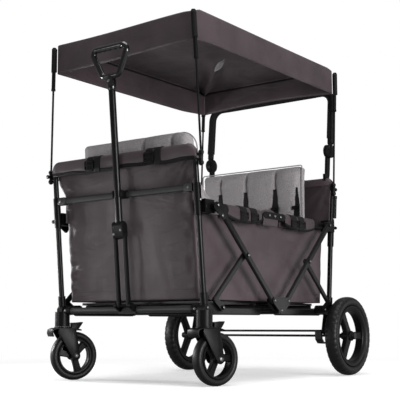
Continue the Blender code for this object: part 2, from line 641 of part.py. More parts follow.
def rear_axle():
    place = (REAR_WHEEL_Y, REAR_WHEEL_RADIUS)
    shapes = [rod((-0.2700, *place), (0.2700, *place), 0.0042, 8)]
    for side in (LEFT, RIGHT):
        shapes.append(rod((side * 0.2640, *place), (side * 0.3265, *place), AXLE_RADIUS, 12))
        shapes.append(rod((side * 0.3200, *place), (side * 0.3800, *place), 0.006, 10))
        shapes.append(rod((side * 0.3785, *place), (side * 0.3825, *place), 0.0110, 14))
    piece("rear_axle", shapes, STEEL, rear_frame)


def rear_wheel(side):
    centre = Vector((side * REAR_WHEEL_X, REAR_WHEEL_Y, REAR_WHEEL_RADIUS))
    spin = joint(f"axis_rear_wheel_{side_name(side)}", centre, rear_frame)
    wheel_rim(f"rear_rim_{side_name(side)}", centre, REAR_RIM, 0.0, spin)
    tyre(f"rear_tyre_{side_name(side)}", centre, REAR_WHEEL_RADIUS, REAR_RIM[0] / cos(pi / 28) + 2 * GAP,
         REAR_TYRE_WIDTH, 36, spin)


def brake_bar():
    pivot = joint("axis_brake_bar", Vector((0, BRAKE_Y, BRAKE_Z)), rear_frame)
    place = (BRAKE_Y, BRAKE_Z)
    shapes = [rod((-0.2757, *place), (0.2757, *place), 0.0036, 8),
              rod((-0.2990, *place), (0.2990, *place), PIN_RADIUS, 8)]
    pedal = [(BRAKE_Y - 0.006, BRAKE_Z), (BRAKE_Y - 0.004, 0.124), (BRAKE_Y + 0.012, 0.110),
             (BRAKE_Y + 0.052, 0.108), (BRAKE_Y + 0.052, 0.113), (BRAKE_Y + 0.016, 0.116),
             (BRAKE_Y + 0.005, 0.128), (BRAKE_Y + 0.006, BRAKE_Z)]
    for side in (LEFT, RIGHT):
        shapes.append(plate(pedal, slab_on(side, (0.2480, 0.2740))))
    piece("brake_bar", shapes, STEEL, pivot)


# Pull handle: yoke with two thin tubes, a coupler, the outer tube and the telescoping grip
def pull_point(z, x=0.0):
    return Vector((x, post_y(FRONT, z) - PULL_OFFSET, z))


def pull_handle():
    pivot = joint("axis_pull_handle", pull_point(PULL_PIVOT_Z))
    slide = joint("axis_pull_grip", pull_point(PULL_TUBE_TOP_Z), pivot)
    foot, top = pull_point(PULL_PIVOT_Z), pull_point(COUPLER_Z[0] + 0.012)
    shapes = []
    for side in (LEFT, RIGHT):
        bar = capsule((foot.y, foot.z), 0.0075, (top.y, top.z), 0.0065)
        shapes.append(plate(bar, slab_on(side, (0.0130, 0.0255)), 0.0030))
    low, high = pull_point(COUPLER_Z[0]), pull_point(COUPLER_Z[1])
    block = capsule((low.y, low.z + 0.012), 0.0120, (high.y, high.z - 0.014), 0.0138)
    shapes.append(plate(block, (-0.0232, 0.0232), 0.0030))
    cuts = [rod((-0.05, foot.y, foot.z), (0.05, foot.y, foot.z), PIN_BORE, 10)]
    cuts.append(rod(pull_point(COUPLER_Z[1] - 0.030), pull_point(0.53), PULL_TUBE_RADIUS + BORE, 16))
    piece("pull_handle_yoke", shapes, PLASTIC, pivot, cuts)
    piece("pull_handle_tube", [rod(pull_point(COUPLER_Z[1] - 0.0295), pull_point(PULL_TUBE_TOP_Z),
                                   PULL_TUBE_RADIUS, 16)],
          FRAME_PAINT, pivot, [rod(pull_point(0.50), pull_point(0.95), PULL_TUBE_RADIUS - 0.0017, 16)])
    ring = [(-0.040, 0.960), (0.040, 0.960), (0.075, GRIP_TOP_Z), (-0.075, GRIP_TOP_Z)]
    shapes = [bent_tube([pull_point(z, x) for x, z in ring], 0.0100, 0.018, closed=True, steps=4),
              rod(pull_point(PULL_TUBE_TOP_Z + GAP), pull_point(0.958), 0.0125, 14),
              rod(pull_point(0.640), pull_point(0.930), PULL_TUBE_RADIUS - 0.0024, 12)]
    piece("pull_handle_grip", shapes, GLOSS, slide)


# Push handle: a hub with a fixed disc on each rear corner and the swinging bow between them
def push_point(z, x=0.0):
    return Vector((x, post_y(REAR, z) + PUSH_OFFSET, z))


def push_hub(side):
    low, hinge = push_point(0.728), push_point(PUSH_HINGE_Z)
    slab = slab_on(side, HUB_SLAB)
    tube_y = post_y(REAR, HOOP_TOP_Z)
    shapes = [plate(capsule((low.y, low.z), 0.0120, (hinge.y, hinge.z), 0.0130),
                    (slab[0] + 0.0008, slab[1] - 0.0008)),
              rod((slab[0], hinge.y, hinge.z), (slab[1], hinge.y, hinge.z), 0.0255, 22),
              box(slab, (tube_y - 0.013, tube_y + 0.018), (0.6935, 0.7290))]
    cuts = [rod((slab[0] - 0.01, tube_y, HOOP_TOP_Z), (slab[1] + 0.01, tube_y, HOOP_TOP_Z),
                POST_RADIUS + BORE, 16)]
    piece(f"push_hub_{side_name(side)}", shapes, PLASTIC, rear_frame, cuts)


def push_handle():
    hinge = push_point(PUSH_HINGE_Z)
    pivot = joint("axis_push_handle", Vector((0, hinge.y, hinge.z)), rear_frame)
    arm_x = sum(PUSH_DISC_SLAB) / 2
    foot_z = PUSH_HINGE_Z + 0.029
    bow = [push_point(foot_z, -arm_x), push_point(PUSH_TOP_Z, -arm_x), push_point(PUSH_TOP_Z, arm_x),
           push_point(foot_z, arm_x)]
    shapes = [bent_tube(bow, 0.0120, 0.045, resolution=2)]
    grip = push_point(PUSH_TOP_Z)
    shapes.append(rod((-0.205, grip.y, grip.z), (0.205, grip.y, grip.z), 0.0150, 16))
    for side in (LEFT, RIGHT):
        slab = slab_on(side, PUSH_DISC_SLAB)
        neck = push_point(foot_z + 0.010)
        shapes.append(rod((slab[0], hinge.y, hinge.z), (slab[1], hinge.y, hinge.z), 0.0255, 22))
        shapes.append(plate(capsule((hinge.y, hinge.z), 0.0115, (neck.y, neck.z), 0.0110),
                            (slab[0] + 0.0008, slab[1] - 0.0008)))
    piece("push_handle", shapes, FOAM, pivot)


# Tub: end walls hung from the hoops and side walls hung from the top rails
def end_wall(end):
    inner, outer = 0.018, 0.013
    top, bottom = 0.686, TUB_BOTTOM_Z
    outline = [(post_y(end, z) - end * offset, z)
               for z, offset in ((bottom, outer), (top, outer), (top, inner), (bottom, inner))]
    wall = plate(outline, (-TUB_HALF_WIDTH + 0.0005, TUB_HALF_WIDTH - 0.0005), bevel=0.001)
    piece(f"{END_NAME[end]}_wall", [wall], CLOTH_DARK, FRAME_HOLDER[end])


def side_wall(side):
    offset = 0.0195
    outline = [(post_y(end, z) - end * offset, z)
               for end, z in ((FRONT, TUB_BOTTOM_Z), (REAR, TUB_BOTTOM_Z), (REAR, SIDE_TOP_Z + 0.03),
                              (FRONT, SIDE_TOP_Z + 0.03))]
    wall = plate(outline, slab_on(side, (TUB_HALF_WIDTH - CLOTH, TUB_HALF_WIDTH)), bevel=0.001)
    piece(f"side_wall_{side_name(side)}", [wall], CLOTH_DARK)


# Seat pad: back and bench in one quilted strip, with upright channels across its width
SEAT_THICKNESS = 0.040
SEAT_CHANNELS = 4
BENCH_DEPTH = 0.205


def seat_pad(end):
    across, along = 24, 10
    back_top = SEAT_BACK_TOP_Z[end]
    back_y = end * SEAT_BACK_Y
    centre_line = rounded_path([(back_y - end * BENCH_DEPTH, SEAT_Z, 0.0), (back_y, SEAT_Z, 0.0),
                                (back_y, back_top, 0.0)], 0.045, 4)
    stretches = [(centre_line[i], centre_line[i + 1]) for i in range(len(centre_line) - 1)]
    total = sum((b - a).length for a, b in stretches)

    def strip(distance):
        """Point and inward normal of the pad's outer face at a distance along the strip."""
        for a, b in stretches:
            length = (b - a).length
            if distance <= length + 1e-9:
                heading = (b - a).normalized()
                return a.lerp(b, distance / length), Vector((heading.y, -heading.x, 0)) * -end
            distance -= length
        return strip(total)

    bm = bmesh.new()
    faces = {}
    for layer in (0, 1):
        for i in range(along + 1):
            share = i / along
            place, inward = strip(total * share)
            narrow = 0.010 * (2 * abs(share - 0.5)) ** 4
            for j in range(across + 1):
                u = 2 * j / across - 1
                edge = min(1.0, 4 * (1 - abs(u)), 5 * share + 0.30, 5 * (1 - share) + 0.30)
                channel = abs(sin(pi * SEAT_CHANNELS * j / across))
                puff = SEAT_THICKNESS * (0.30 + 0.70 * (0.25 + 0.75 * channel) * max(edge, 0.0))
                depth = puff if layer else 0.0
                point = place + inward * depth
                faces[layer, i, j] = bm.verts.new((u * (SEAT_HALF_WIDTH - narrow), point.x, point.y))
    for i in range(along):
        for j in range(across):
            for layer in (0, 1):
                bm.faces.new([faces[layer, i, j], faces[layer, i + 1, j], faces[layer, i + 1, j + 1],
                              faces[layer, i, j + 1]])
    rim = [(0, j) for j in range(across)] + [(i, across) for i in range(along)]
    rim += [(along, j) for j in range(across, 0, -1)] + [(i, 0) for i in range(along, 0, -1)]
    for (i, j), (k, m) in zip(rim, rim[1:] + rim[:1]):
        bm.faces.new([faces[0, i, j], faces[0, k, m], faces[1, k, m], faces[1, i, j]])
    bmesh.ops.recalc_face_normals(bm, faces=bm.faces[:])
    piece(f"{END_NAME[end]}_seat", [bm], CLOTH_LIGHT, FRAME_HOLDER[end])


# Canopy: a crowned sheet with a valance all round, open below
def canopy():
    bm = bmesh.new()
    steps = 8
    bmesh.ops.create_grid(bm, x_segments=steps, y_segments=steps, size=1.0)
    half_length = (CANOPY_REAR_Y - CANOPY_FRONT_Y) / 2
    middle = (CANOPY_REAR_Y + CANOPY_FRONT_Y) / 2
    for vert in bm.verts:
        u, v = vert.co.x, vert.co.y
        rise = CANOPY_CROWN * (1 - u ** 4) * (1 - v ** 4)
        vert.co = (u * CANOPY_HALF_WIDTH, middle + v * half_length, CANOPY_EDGE_Z + rise)
    rim = [edge for edge in bm.edges if edge.is_boundary]
    corners = [vert for vert in bm.verts if len(vert.link_edges) == 2]
    dropped = bmesh.ops.extrude_edge_only(bm, edges=rim)["geom"]
    hem = [item for item in dropped if isinstance(item, bmesh.types.BMVert)]
    for vert in hem:
        at_rear = vert.co.y > CANOPY_REAR_Y - 0.001
        arch = HEM_ARCH * (1 - (vert.co.x / CANOPY_HALF_WIDTH) ** 2) if at_rear else 0.0
        vert.co.z += arch - VALANCE_DROP
    uprights = [edge for edge in bm.edges if any(vert in corners for vert in edge.verts)
                and abs(edge.verts[0].co.z - edge.verts[1].co.z) > VALANCE_DROP / 2]
    bmesh.ops.bevel(bm, geom=uprights, offset=0.014, segments=2, profile=0.5, affect="EDGES", material=-1)
    bmesh.ops.recalc_face_normals(bm, faces=bm.faces[:])
    if sum(face.normal.z for face in bm.faces) < 0:
        bmesh.ops.reverse_faces(bm, faces=bm.faces[:])
    shell = piece("canopy_cover", [bm], CLOTH_DARK)
    wall = shell.modifiers.new("thickness", "SOLIDIFY")
    wall.thickness = 0.004
    wall.offset = -1.0


for side in (LEFT, RIGHT):
    caster(side)
    rear_wheel(side)
    push_hub(side)
    side_wall(side)
    top_hinge(side)
    for end in (FRONT, REAR):
        corner_bracket(end, side)
        canopy_pole(end, side)
        slider(end, side)
        long_link(end, side)
        short_link(end, side)
        top_rail(end, side)
for end in (FRONT, REAR):
    end_hoop(end)
    bottom_crossbar(end)
    slider_crossbar(end)
    floor_half(end)
    end_wall(end)
    seat_pad(end)
centre_frame()
rear_axle()
brake_bar()
pull_handle()
push_handle()
canopy()

# Bring the origin under the middle of the whole wagon
for item in bpy.context.scene.objects:
    if item.parent is None:
        item.location.y += FRAME_CENTRE_Y
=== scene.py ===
"""Folding wagon with a canopy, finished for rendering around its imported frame. Metres, +Z up."""
import json
from math import atan2, cos, exp, pi, radians, sin, tan

import bmesh
import bpy
from mathutils import Matrix, Vector, geometry, noise

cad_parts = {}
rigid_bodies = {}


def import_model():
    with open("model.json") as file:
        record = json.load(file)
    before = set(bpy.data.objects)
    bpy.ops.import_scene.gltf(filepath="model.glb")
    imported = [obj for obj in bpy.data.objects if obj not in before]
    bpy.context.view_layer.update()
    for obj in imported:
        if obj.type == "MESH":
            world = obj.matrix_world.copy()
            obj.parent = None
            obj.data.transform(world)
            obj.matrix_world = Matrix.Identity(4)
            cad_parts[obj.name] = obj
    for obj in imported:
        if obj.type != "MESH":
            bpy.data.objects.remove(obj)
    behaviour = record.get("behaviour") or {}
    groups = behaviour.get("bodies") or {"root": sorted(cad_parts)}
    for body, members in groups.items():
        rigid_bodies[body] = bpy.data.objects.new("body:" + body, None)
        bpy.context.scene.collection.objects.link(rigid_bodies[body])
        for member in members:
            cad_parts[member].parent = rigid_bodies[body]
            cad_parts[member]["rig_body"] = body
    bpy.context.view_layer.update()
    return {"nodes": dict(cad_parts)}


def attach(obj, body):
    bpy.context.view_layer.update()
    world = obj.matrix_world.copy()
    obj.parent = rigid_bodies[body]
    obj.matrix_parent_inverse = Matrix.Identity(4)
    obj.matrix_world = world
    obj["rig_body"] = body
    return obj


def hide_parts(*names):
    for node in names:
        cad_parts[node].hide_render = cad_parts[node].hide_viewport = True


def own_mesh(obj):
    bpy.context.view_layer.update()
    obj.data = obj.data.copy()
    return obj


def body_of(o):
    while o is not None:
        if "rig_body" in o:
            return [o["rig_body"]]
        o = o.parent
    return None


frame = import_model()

# Camera, floor and light.
# The photograph was taken from low down in front of the right caster, and looks slightly up at
# the wagon. The floor is a pale sweep. A key lamp stands at the right and a broad one overhead,
# with weak ones low in front and beside the tub's left and rear edges.
CAMERA_PLACE = (1.9076, -2.6062, 0.1833)
CAMERA_RIGHT = Vector((0.8040, 0.5946, 0.0))
CAMERA_FORWARD = Vector((-0.5894, 0.7970, 0.1317))
CAMERA_ROLL = radians(-0.212)
CAMERA_SENSOR, CAMERA_LENS = 36.0, 83.45
LAMPS = {"key": ((2.9, -0.84, 0.65), (0.0, 0.0, 0.55), 1.3, 86),     # place, target, size, watts
         "front window": ((-0.95, -1.75, 0.28), (-0.1, -0.35, 0.38), 0.55, 5),
         "left edge": ((-1.35, -0.58, 0.42), (-0.26, -0.43, 0.42), 0.25, 11),
         "right edge": ((1.45, 1.45, 0.26), (0.29, 0.38, 0.30), 0.7, 2.6),
         "top": ((0.3, -0.3, 3.4), (0.0, 0.0, 0.0), 2.6, 75)}
WHITE = (1.0, 1.0, 1.0, 1.0)
SKY_LIGHT = 0.30             # what the white surroundings throw at the wagon
FLOOR_SIZE = 14.0
FLOOR_COLOUR = (0.84, 0.84, 0.845, 1.0)
FLOOR_BOUNCE = (0.34, 0.34, 0.34, 1.0)   # what the floor throws back at the wagon
FLOOR_GLOW = 0.36            # lifts the lit floor to the photograph's white
FLOOR_FADE = (0.9, 2.2)      # distance from the wagon over which the floor turns plain white
camera = bpy.data.objects.new("camera", bpy.data.cameras.new("camera"))
camera.data.sensor_width, camera.data.lens = CAMERA_SENSOR, CAMERA_LENS
forward = CAMERA_FORWARD.normalized()
across = (CAMERA_RIGHT - CAMERA_RIGHT.dot(forward) * forward).normalized()
turn = Matrix((across, across.cross(forward), -forward)).transposed()
camera.matrix_world = (Matrix.Translation(CAMERA_PLACE) @ turn.to_4x4()
                       @ Matrix.Rotation(CAMERA_ROLL, 4, "Z"))
bpy.context.scene.collection.objects.link(camera)
bpy.context.scene.camera = camera
bpy.context.scene.view_settings.view_transform = "Standard"

for name, (place, target, size, watts) in LAMPS.items():
    data = bpy.data.lights.new(name, "AREA")
    data.shape, data.size, data.energy = "DISK", size, watts
    lamp = bpy.data.objects.new(name, data)
    lamp.location = place
    lamp.rotation_euler = (Vector(target) - Vector(place)).to_track_quat("-Z", "Y").to_euler()
    bpy.context.scene.collection.objects.link(lamp)


def node(owner, kind, inputs=None, **settings):
    """A shader node, its inputs set to a value or linked to another node's output."""
    made = owner.node_tree.nodes.new(f"ShaderNode{kind}")
    for name, value in settings.items():
        setattr(made, name, value)
    for key, value in (inputs or {}).items():
        if isinstance(value, bpy.types.NodeSocket):
            owner.node_tree.links.new(value, made.inputs[key])
        else:
            made.inputs[key].default_value = value
    return made


world = bpy.data.worlds.new("studio")
bpy.context.scene.world = world
world.use_nodes = True
sky = world.node_tree.nodes["Background"]
sky.inputs["Color"].default_value = WHITE
rays = node(world, "LightPath").outputs
direct = node(world, "Math", {0: rays["Is Camera Ray"], 1: rays["Is Transmission Ray"]}, operation="MAXIMUM")
strength = node(world, "MapRange", {"Value": direct.outputs[0], "To Min": SKY_LIGHT, "To Max": 1.0})
world.node_tree.links.new(strength.outputs[0], sky.inputs["Strength"])

bm = bmesh.new()
bmesh.ops.create_grid(bm, x_segments=1, y_segments=1, size=FLOOR_SIZE)
mesh = bpy.data.meshes.new("floor")
bm.to_mesh(mesh)
bm.free()
floor = bpy.data.objects.new("floor", mesh)
bpy.context.scene.collection.objects.link(floor)
pale = bpy.data.materials.new("studio floor")
pale.use_nodes = True
mesh.materials.append(pale)
lit = pale.node_tree.nodes["Principled BSDF"]
lit.inputs["Roughness"].default_value = 0.7
lit.inputs["Specular IOR Level"].default_value = 0.1
lit.inputs["Emission Color"].default_value = WHITE
to_camera = node(pale, "LightPath").outputs["Is Camera Ray"]
shade = node(pale, "Mix", data_type="RGBA")
shade.inputs["A"].default_value, shade.inputs["B"].default_value = FLOOR_BOUNCE, FLOOR_COLOUR
pale.node_tree.links.new(to_camera, shade.inputs["Factor"])
pale.node_tree.links.new(shade.outputs["Result"], lit.inputs["Base Color"])
glow = node(pale, "Math", {0: to_camera, 1: FLOOR_GLOW}, operation="MULTIPLY")
pale.node_tree.links.new(glow.outputs[0], lit.inputs["Emission Strength"])
away = node(pale, "VectorMath", {0: node(pale, "TexCoord").outputs["Object"]}, operation="LENGTH")
fade = node(pale, "MapRange", {"Value": away.outputs["Value"], "From Min": FLOOR_FADE[0],
                               "From Max": FLOOR_FADE[1]}, interpolation_type="SMOOTHSTEP")
seen = node(pale, "Math", {0: fade.outputs[0], 1: to_camera}, operation="MULTIPLY")
mixed = node(pale, "MixShader", {"Fac": seen.outputs[0], 1: lit.outputs[0],
                                 2: node(pale, "Emission").outputs[0]})
pale.node_tree.links.new(mixed.outputs[0], pale.node_tree.nodes["Material Output"].inputs["Surface"])

# Painted tube frame: hoops, cross tubes, links, rails and floor.
# Steel tube under a satin black powder coat, which has a fine orange-peel surface. The solids
# keep their shape; their corners are merged and their edges broken as the coat rounds them.
FRONT, REAR = -1, 1
END_NAME = {FRONT: "front", REAR: "rear"}


def carrier(part):
    """The body that carries one of the CAD nodes."""
    return body_of(frame["nodes"][part])[0]


def finish_named(name, colour, roughness, metallic=0.0, specular=0.5):
    """A material and its main shader."""
    made = bpy.data.materials.new(name)
    made.use_nodes = True
    shader = made.node_tree.nodes["Principled BSDF"]
    shader.inputs["Base Color"].default_value = (*colour, 1.0)
    shader.inputs["Roughness"].default_value = roughness
    shader.inputs["Metallic"].default_value = metallic
    shader.inputs["Specular IOR Level"].default_value = specular
    return made, shader


def grain(made, scale, strength, distance, detail=3.0):
    """Fine noise in a material's bump, and the noise node for other uses."""
    speckle = node(made, "TexNoise", {"Vector": node(made, "TexCoord").outputs["Object"],
                                      "Scale": scale, "Detail": detail})
    bump = node(made, "Bump", {"Height": speckle.outputs["Fac"], "Strength": strength,
                               "Distance": distance})
    made.node_tree.links.new(bump.outputs["Normal"],
                             made.node_tree.nodes["Principled BSDF"].inputs["Normal"])
    return speckle


def vary(made, source, low, high, socket):
    """Drive a shader socket between two values or colours with a texture's strength."""
    ramp = node(made, "ValToRGB", {"Fac": source.outputs["Fac"]})
    elements = ramp.color_ramp.elements
    elements[0].position, elements[1].position = 0.35, 0.65
    for element, value in zip(elements, (low, high)):
        element.color = (*value, 1.0) if hasattr(value, "__len__") else (value, value, value, 1.0)
    made.node_tree.links.new(ramp.outputs["Color"],
                             made.node_tree.nodes["Principled BSDF"].inputs[socket])


powder_coat, _ = finish_named("satin black powder coat", (0.0040, 0.0042, 0.0040), 0.28, 0.0, 0.17)
vary(powder_coat, grain(powder_coat, 900.0, 0.10, 0.0004), 0.25, 0.34, "Roughness")


def add_piece(name, bm, material, body, smooth_to=40.0):
    """One object from a bmesh: smooth but for edges sharper than the angle, riding on its body."""
    for face in bm.faces:
        face.smooth = True
    for edge in bm.edges:
        edge.smooth = not (edge.is_manifold and edge.calc_face_angle() > radians(smooth_to))
    mesh = bpy.data.meshes.new(name)
    bm.to_mesh(mesh)
    bm.free()
    mesh.materials.append(material)
    made = bpy.data.objects.new(name, mesh)
    bpy.context.scene.collection.objects.link(made)
    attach(made, body)
    return made


def softened_edges(bm, edges, radius, clamp=False):
    """Round some edges of a shape."""
    bmesh.ops.bevel(bm, geom=edges, offset=radius, segments=2, profile=0.5, affect="EDGES",
                    material=-1, clamp_overlap=clamp)


def soften(part, material, edge_radius=0.0009):
    """A CAD solid again, with merged corners and broken edges."""
    bm = bmesh.new()
    bm.from_mesh(frame["nodes"][part].data)
    bmesh.ops.remove_doubles(bm, verts=bm.verts[:], dist=0.00002)
    bmesh.ops.dissolve_limit(bm, angle_limit=radians(0.6), verts=bm.verts[:], edges=bm.edges[:])
    softened_edges(bm, [edge for edge in bm.edges if edge.is_manifold
                        and edge.calc_face_angle() > radians(42)], edge_radius, True)
    made = add_piece(f"{part}_finished", bm, material, carrier(part))
    made.modifiers.new("flat faces stay flat", "WEIGHTED_NORMAL").keep_sharp = True
    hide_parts(part)
    return made


for end in (FRONT, REAR):
    for part in ("hoop", "floor", "long_link_L", "long_link_R", "short_link_L",
                 "short_link_R", "top_rail_L", "top_rail_R"):
        soften(f"{END_NAME[end]}_{part}", powder_coat)
for part in ("rear_bottom_crossbar", "centre_frame", "pull_handle_tube"):
    soften(part, powder_coat)

crossbar_paint, _ = finish_named("grey-green crossbar paint", (0.033, 0.036, 0.033), 0.42, 0.0, 0.3)
vary(crossbar_paint, grain(crossbar_paint, 700.0, 0.10, 0.0004), 0.36, 0.46, "Roughness")
for part in ("front_slider_crossbar", "rear_slider_crossbar", "front_bottom_crossbar"):
    soften(part, crossbar_paint)

# Mouldings: corner brackets, sliders, pole clamps, hinge covers and hubs.
# Glass-filled nylon straight from the mould, matt and faintly grained. The cloth pulls the front
# right canopy pole's top in and forwards, and the rear poles stand close against their posts. The
# axle and the brake's bar are dipped black.
moulding, _ = finish_named("black moulded nylon", (0.0036, 0.0036, 0.0037), 0.36, 0.0, 0.13)
vary(moulding, grain(moulding, 1400.0, 0.18, 0.0004, 4.0), 0.32, 0.42, "Roughness")
LEFT, RIGHT = -1, 1
SIDE_NAME = {LEFT: "L", RIGHT: "R"}
POLE_PULL = Vector((-0.0100, -0.0095, 0.0090))     # how far the pole's top is pulled off its line
POLE_FOOT_Z, POLE_LENGTH = 0.650, 0.460
POLE_BEND_Z, POLE_BEND_LENGTH = 0.690, 0.421       # where the pull begins, and how far it reaches
REAR_POLE_IN, REAR_POLE_FORWARD = 0.0096, 0.0080
EDGE_MOULDED = 0.0012


def pole_pull(z):
    """How far the front right pole is pulled off its line at height z."""
    return POLE_PULL * max(0.0, (z - POLE_BEND_Z) / POLE_BEND_LENGTH) ** 1.2


def foot_shift(end, side):
    """How far a rear pole's foot stands off the CAD's place."""
    return Vector((-side * REAR_POLE_IN, -REAR_POLE_FORWARD, 0.0)) if end == REAR else Vector()


for side in (LEFT, RIGHT):
    for part in ("corner_bracket", "canopy_pole", "slider"):
        for end in (FRONT, REAR):
            made = soften(f"{END_NAME[end]}_{part}_{SIDE_NAME[side]}", moulding, EDGE_MOULDED)
            for vert in made.data.vertices if part == "canopy_pole" else ():
                if (end, side) == (FRONT, RIGHT):
                    vert.co += pole_pull(vert.co.z)
                share = min(1.0, max(0.0, (vert.co.z - POLE_FOOT_Z) / POLE_LENGTH))
                vert.co += foot_shift(end, side) * (1 - share)
    for part in ("push_hub", "top_hinge"):
        soften(f"{part}_{SIDE_NAME[side]}", moulding, EDGE_MOULDED)
soften("pull_handle_yoke", moulding, EDGE_MOULDED)
steel, _ = finish_named("black-dipped axle steel", (0.020, 0.020, 0.020), 0.38, 0.6)
vary(steel, grain(steel, 1800.0, 0.10, 0.0002), 0.30, 0.44, "Roughness")
for part in ("rear_axle", "brake_bar"):
    soften(part, steel)

# Wheels and caster forks.
# Foam tyres with notched shoulders at the rear, slick ones on the casters, on three-spoke nylon
# rims with domed hub caps and zinc bolts. The forks are moulded shells with a brow over the tyre.
rubber, _ = finish_named("tyre rubber", (0.0050, 0.0050, 0.0054), 0.44, 0.0, 0.26)
vary(rubber, grain(rubber, 500.0, 0.2, 0.0006), 0.36, 0.54, "Roughness")
zinc, _ = finish_named("bright zinc", (0.20, 0.20, 0.195), 0.32, 0.9)
vary(zinc, grain(zinc, 2600.0, 0.15, 0.0002), 0.28, 0.42, "Roughness")
CASTER_TURN = {LEFT: radians(-24), RIGHT: radians(-15)}
FIRST_SPOKE = {LEFT: radians(-73), RIGHT: radians(4)}        # of the casters, as they stopped
REAR_WHEEL = {"radius": 0.1371, "bead": 0.1040, "width": 0.0466, "opening": 0.0872, "rim": 0.037,
              "hub": 0.0175, "hub_half": 0.0245, "spoke": (0.0140, 0.0112, 0.0155), "depth": 0.0095}
CASTER_WHEEL = {"radius": 0.0787, "bead": 0.0560, "width": 0.0345, "opening": 0.0520, "rim": 0.029,
                "hub": 0.0122, "hub_half": 0.0185, "spoke": (0.0104, 0.0092, 0.0130), "depth": 0.0084}
NOTCHES, NOTCH_DEPTH, GROOVE_DEPTH = 40, 0.0017, 0.0010
SPOKE_EDGE = 0.0028
FORK_POST = -0.041           # the post's axis behind the axle
FORK_INSIDE, FORK_OUTSIDE = 0.0198, 0.0258
BOLT_RADIUS, BOLT_HEIGHT, BOLT_FOOT = 0.0062, 0.0034, 0.0275


def between(a, b):
    """Two values as a low and a high one."""
    return min(a, b), max(a, b)


def smooth(value):
    """0 below 0, 1 above 1, and an even ease between."""
    value = min(1.0, max(0.0, value))
    return value * value * (3 - 2 * value)


def gather(shapes):
    """Several shapes in one bmesh."""
    whole = bmesh.new()
    for bm in shapes:
        mesh = bpy.data.meshes.new("part")
        bm.to_mesh(mesh)
        bm.free()
        whole.from_mesh(mesh)
        bpy.data.meshes.remove(mesh)
    return whole


def lathe(profile, closed=False, steps=96):
    """Turn a profile of (distance along the axle, radius) about the X axis."""
    bm = bmesh.new()
    ring = [bm.verts.new((along, 0.0, radius)) for along, radius in profile]
    pairs = list(zip(ring, ring[1:])) + ([(ring[-1], ring[0])] if closed else [])
    edges = [bm.edges.new(pair) for pair in pairs]
    bmesh.ops.spin(bm, geom=ring + edges, cent=(0, 0, 0), axis=(1, 0, 0), angle=2 * pi, steps=steps,
                   use_merge=True, use_duplicate=False)
    bmesh.ops.remove_doubles(bm, verts=bm.verts[:], dist=1e-6)
    bmesh.ops.recalc_face_normals(bm, faces=bm.faces[:])
    return bm


def both_sides(profile):
    """A profile's right half with its mirror image before it."""
    return [(-along, radius) for along, radius in reversed(profile)] + profile


def skinned(rings, joined=False):
    """A skin bridged over rings of points in turn, and joined up or closed at both ends."""
    bm = bmesh.new()
    hoops = []
    for points in rings:
        ring = [bm.verts.new(point) for point in points]
        hoops.append([bm.edges.new(pair) for pair in zip(ring, ring[1:] + ring[:1])])
    for low, high in zip(hoops, hoops[1:] + (hoops[:1] if joined else [])):
        bmesh.ops.bridge_loops(bm, edges=low + high)
    if not joined:
        for ends in (hoops[0], hoops[-1]):
            bmesh.ops.edgeloop_fill(bm, edges=ends)
    bmesh.ops.recalc_face_normals(bm, faces=bm.faces[:])
    return bm


def plate(outline, x):
    """A flat plate with an outline of (y, z) points, between two x."""
    bm = bmesh.new()
    face = bm.faces.new([bm.verts.new((x[0], *point)) for point in outline])
    moved = bmesh.ops.extrude_face_region(bm, geom=[face])["geom"]
    bmesh.ops.translate(bm, vec=(x[1] - x[0], 0, 0),
                        verts=[v for v in moved if isinstance(v, bmesh.types.BMVert)])
    bmesh.ops.recalc_face_normals(bm, faces=bm.faces[:])
    return bm


def tyre(sizes, notched):
    """A tyre of rounded-box section; a notched one has blocks on its shoulders and two grooves."""
    half, bead, radius = sizes["width"] / 2, sizes["bead"], sizes["radius"]
    section = []
    for step in range(44):
        side, up = cos(2 * pi * step / 44), sin(2 * pi * step / 44)
        section.append((half * abs(side) ** 0.80 * (1 if side > 0 else -1),
                        (bead + radius) / 2 + (radius - bead) / 2 * abs(up) ** 0.80 * (1 if up > 0 else -1)))
    bm = lathe(section, True, 6 * NOTCHES if notched else 120)
    for vert in bm.verts if notched else ():
        side, away = abs(vert.co.x), (vert.co.y ** 2 + vert.co.z ** 2) ** 0.5
        turn = (atan2(vert.co.z, vert.co.y) / (2 * pi) * NOTCHES + 0.5 * (vert.co.x > 0)) % 1.0
        shoulder = smooth((side / half - 0.30) / 0.2) * smooth((away - bead) / (radius - bead) * 3 - 1.5)
        deep = NOTCH_DEPTH * shoulder * (turn < 0.17 or turn > 0.99)
        deep += GROOVE_DEPTH * exp(-((side - half * 0.28) / 0.0012) ** 2) * (away > bead + 0.02)
        vert.co.y *= 1 - deep / away
        vert.co.z *= 1 - deep / away
    return bm


def spoke(sizes, angle):
    """One broad spoke from the hub to the rim, waisted, with rounded edges."""
    inner, outer = sizes["hub"] * 0.6, sizes["opening"] + 0.002
    foot, waist, head = sizes["spoke"]
    rings = []
    for step in range(9):
        share = step / 8
        wide = foot * (1 - share) ** 2 + waist * 2 * share * (1 - share) + head * share ** 2
        deep = sizes["depth"] * (1.15 - 0.25 * share)
        right = [(wide, deep - SPOKE_EDGE), (wide - SPOKE_EDGE, deep)]
        corners = right + [(-w, x) for w, x in right[::-1]]
        corners += [(-w, -x) for w, x in corners]
        along = inner + (outer - inner) * share
        rings.append([(x, along * cos(angle) - w * sin(angle), along * sin(angle) + w * cos(angle))
                      for w, x in corners])
    return skinned(rings)


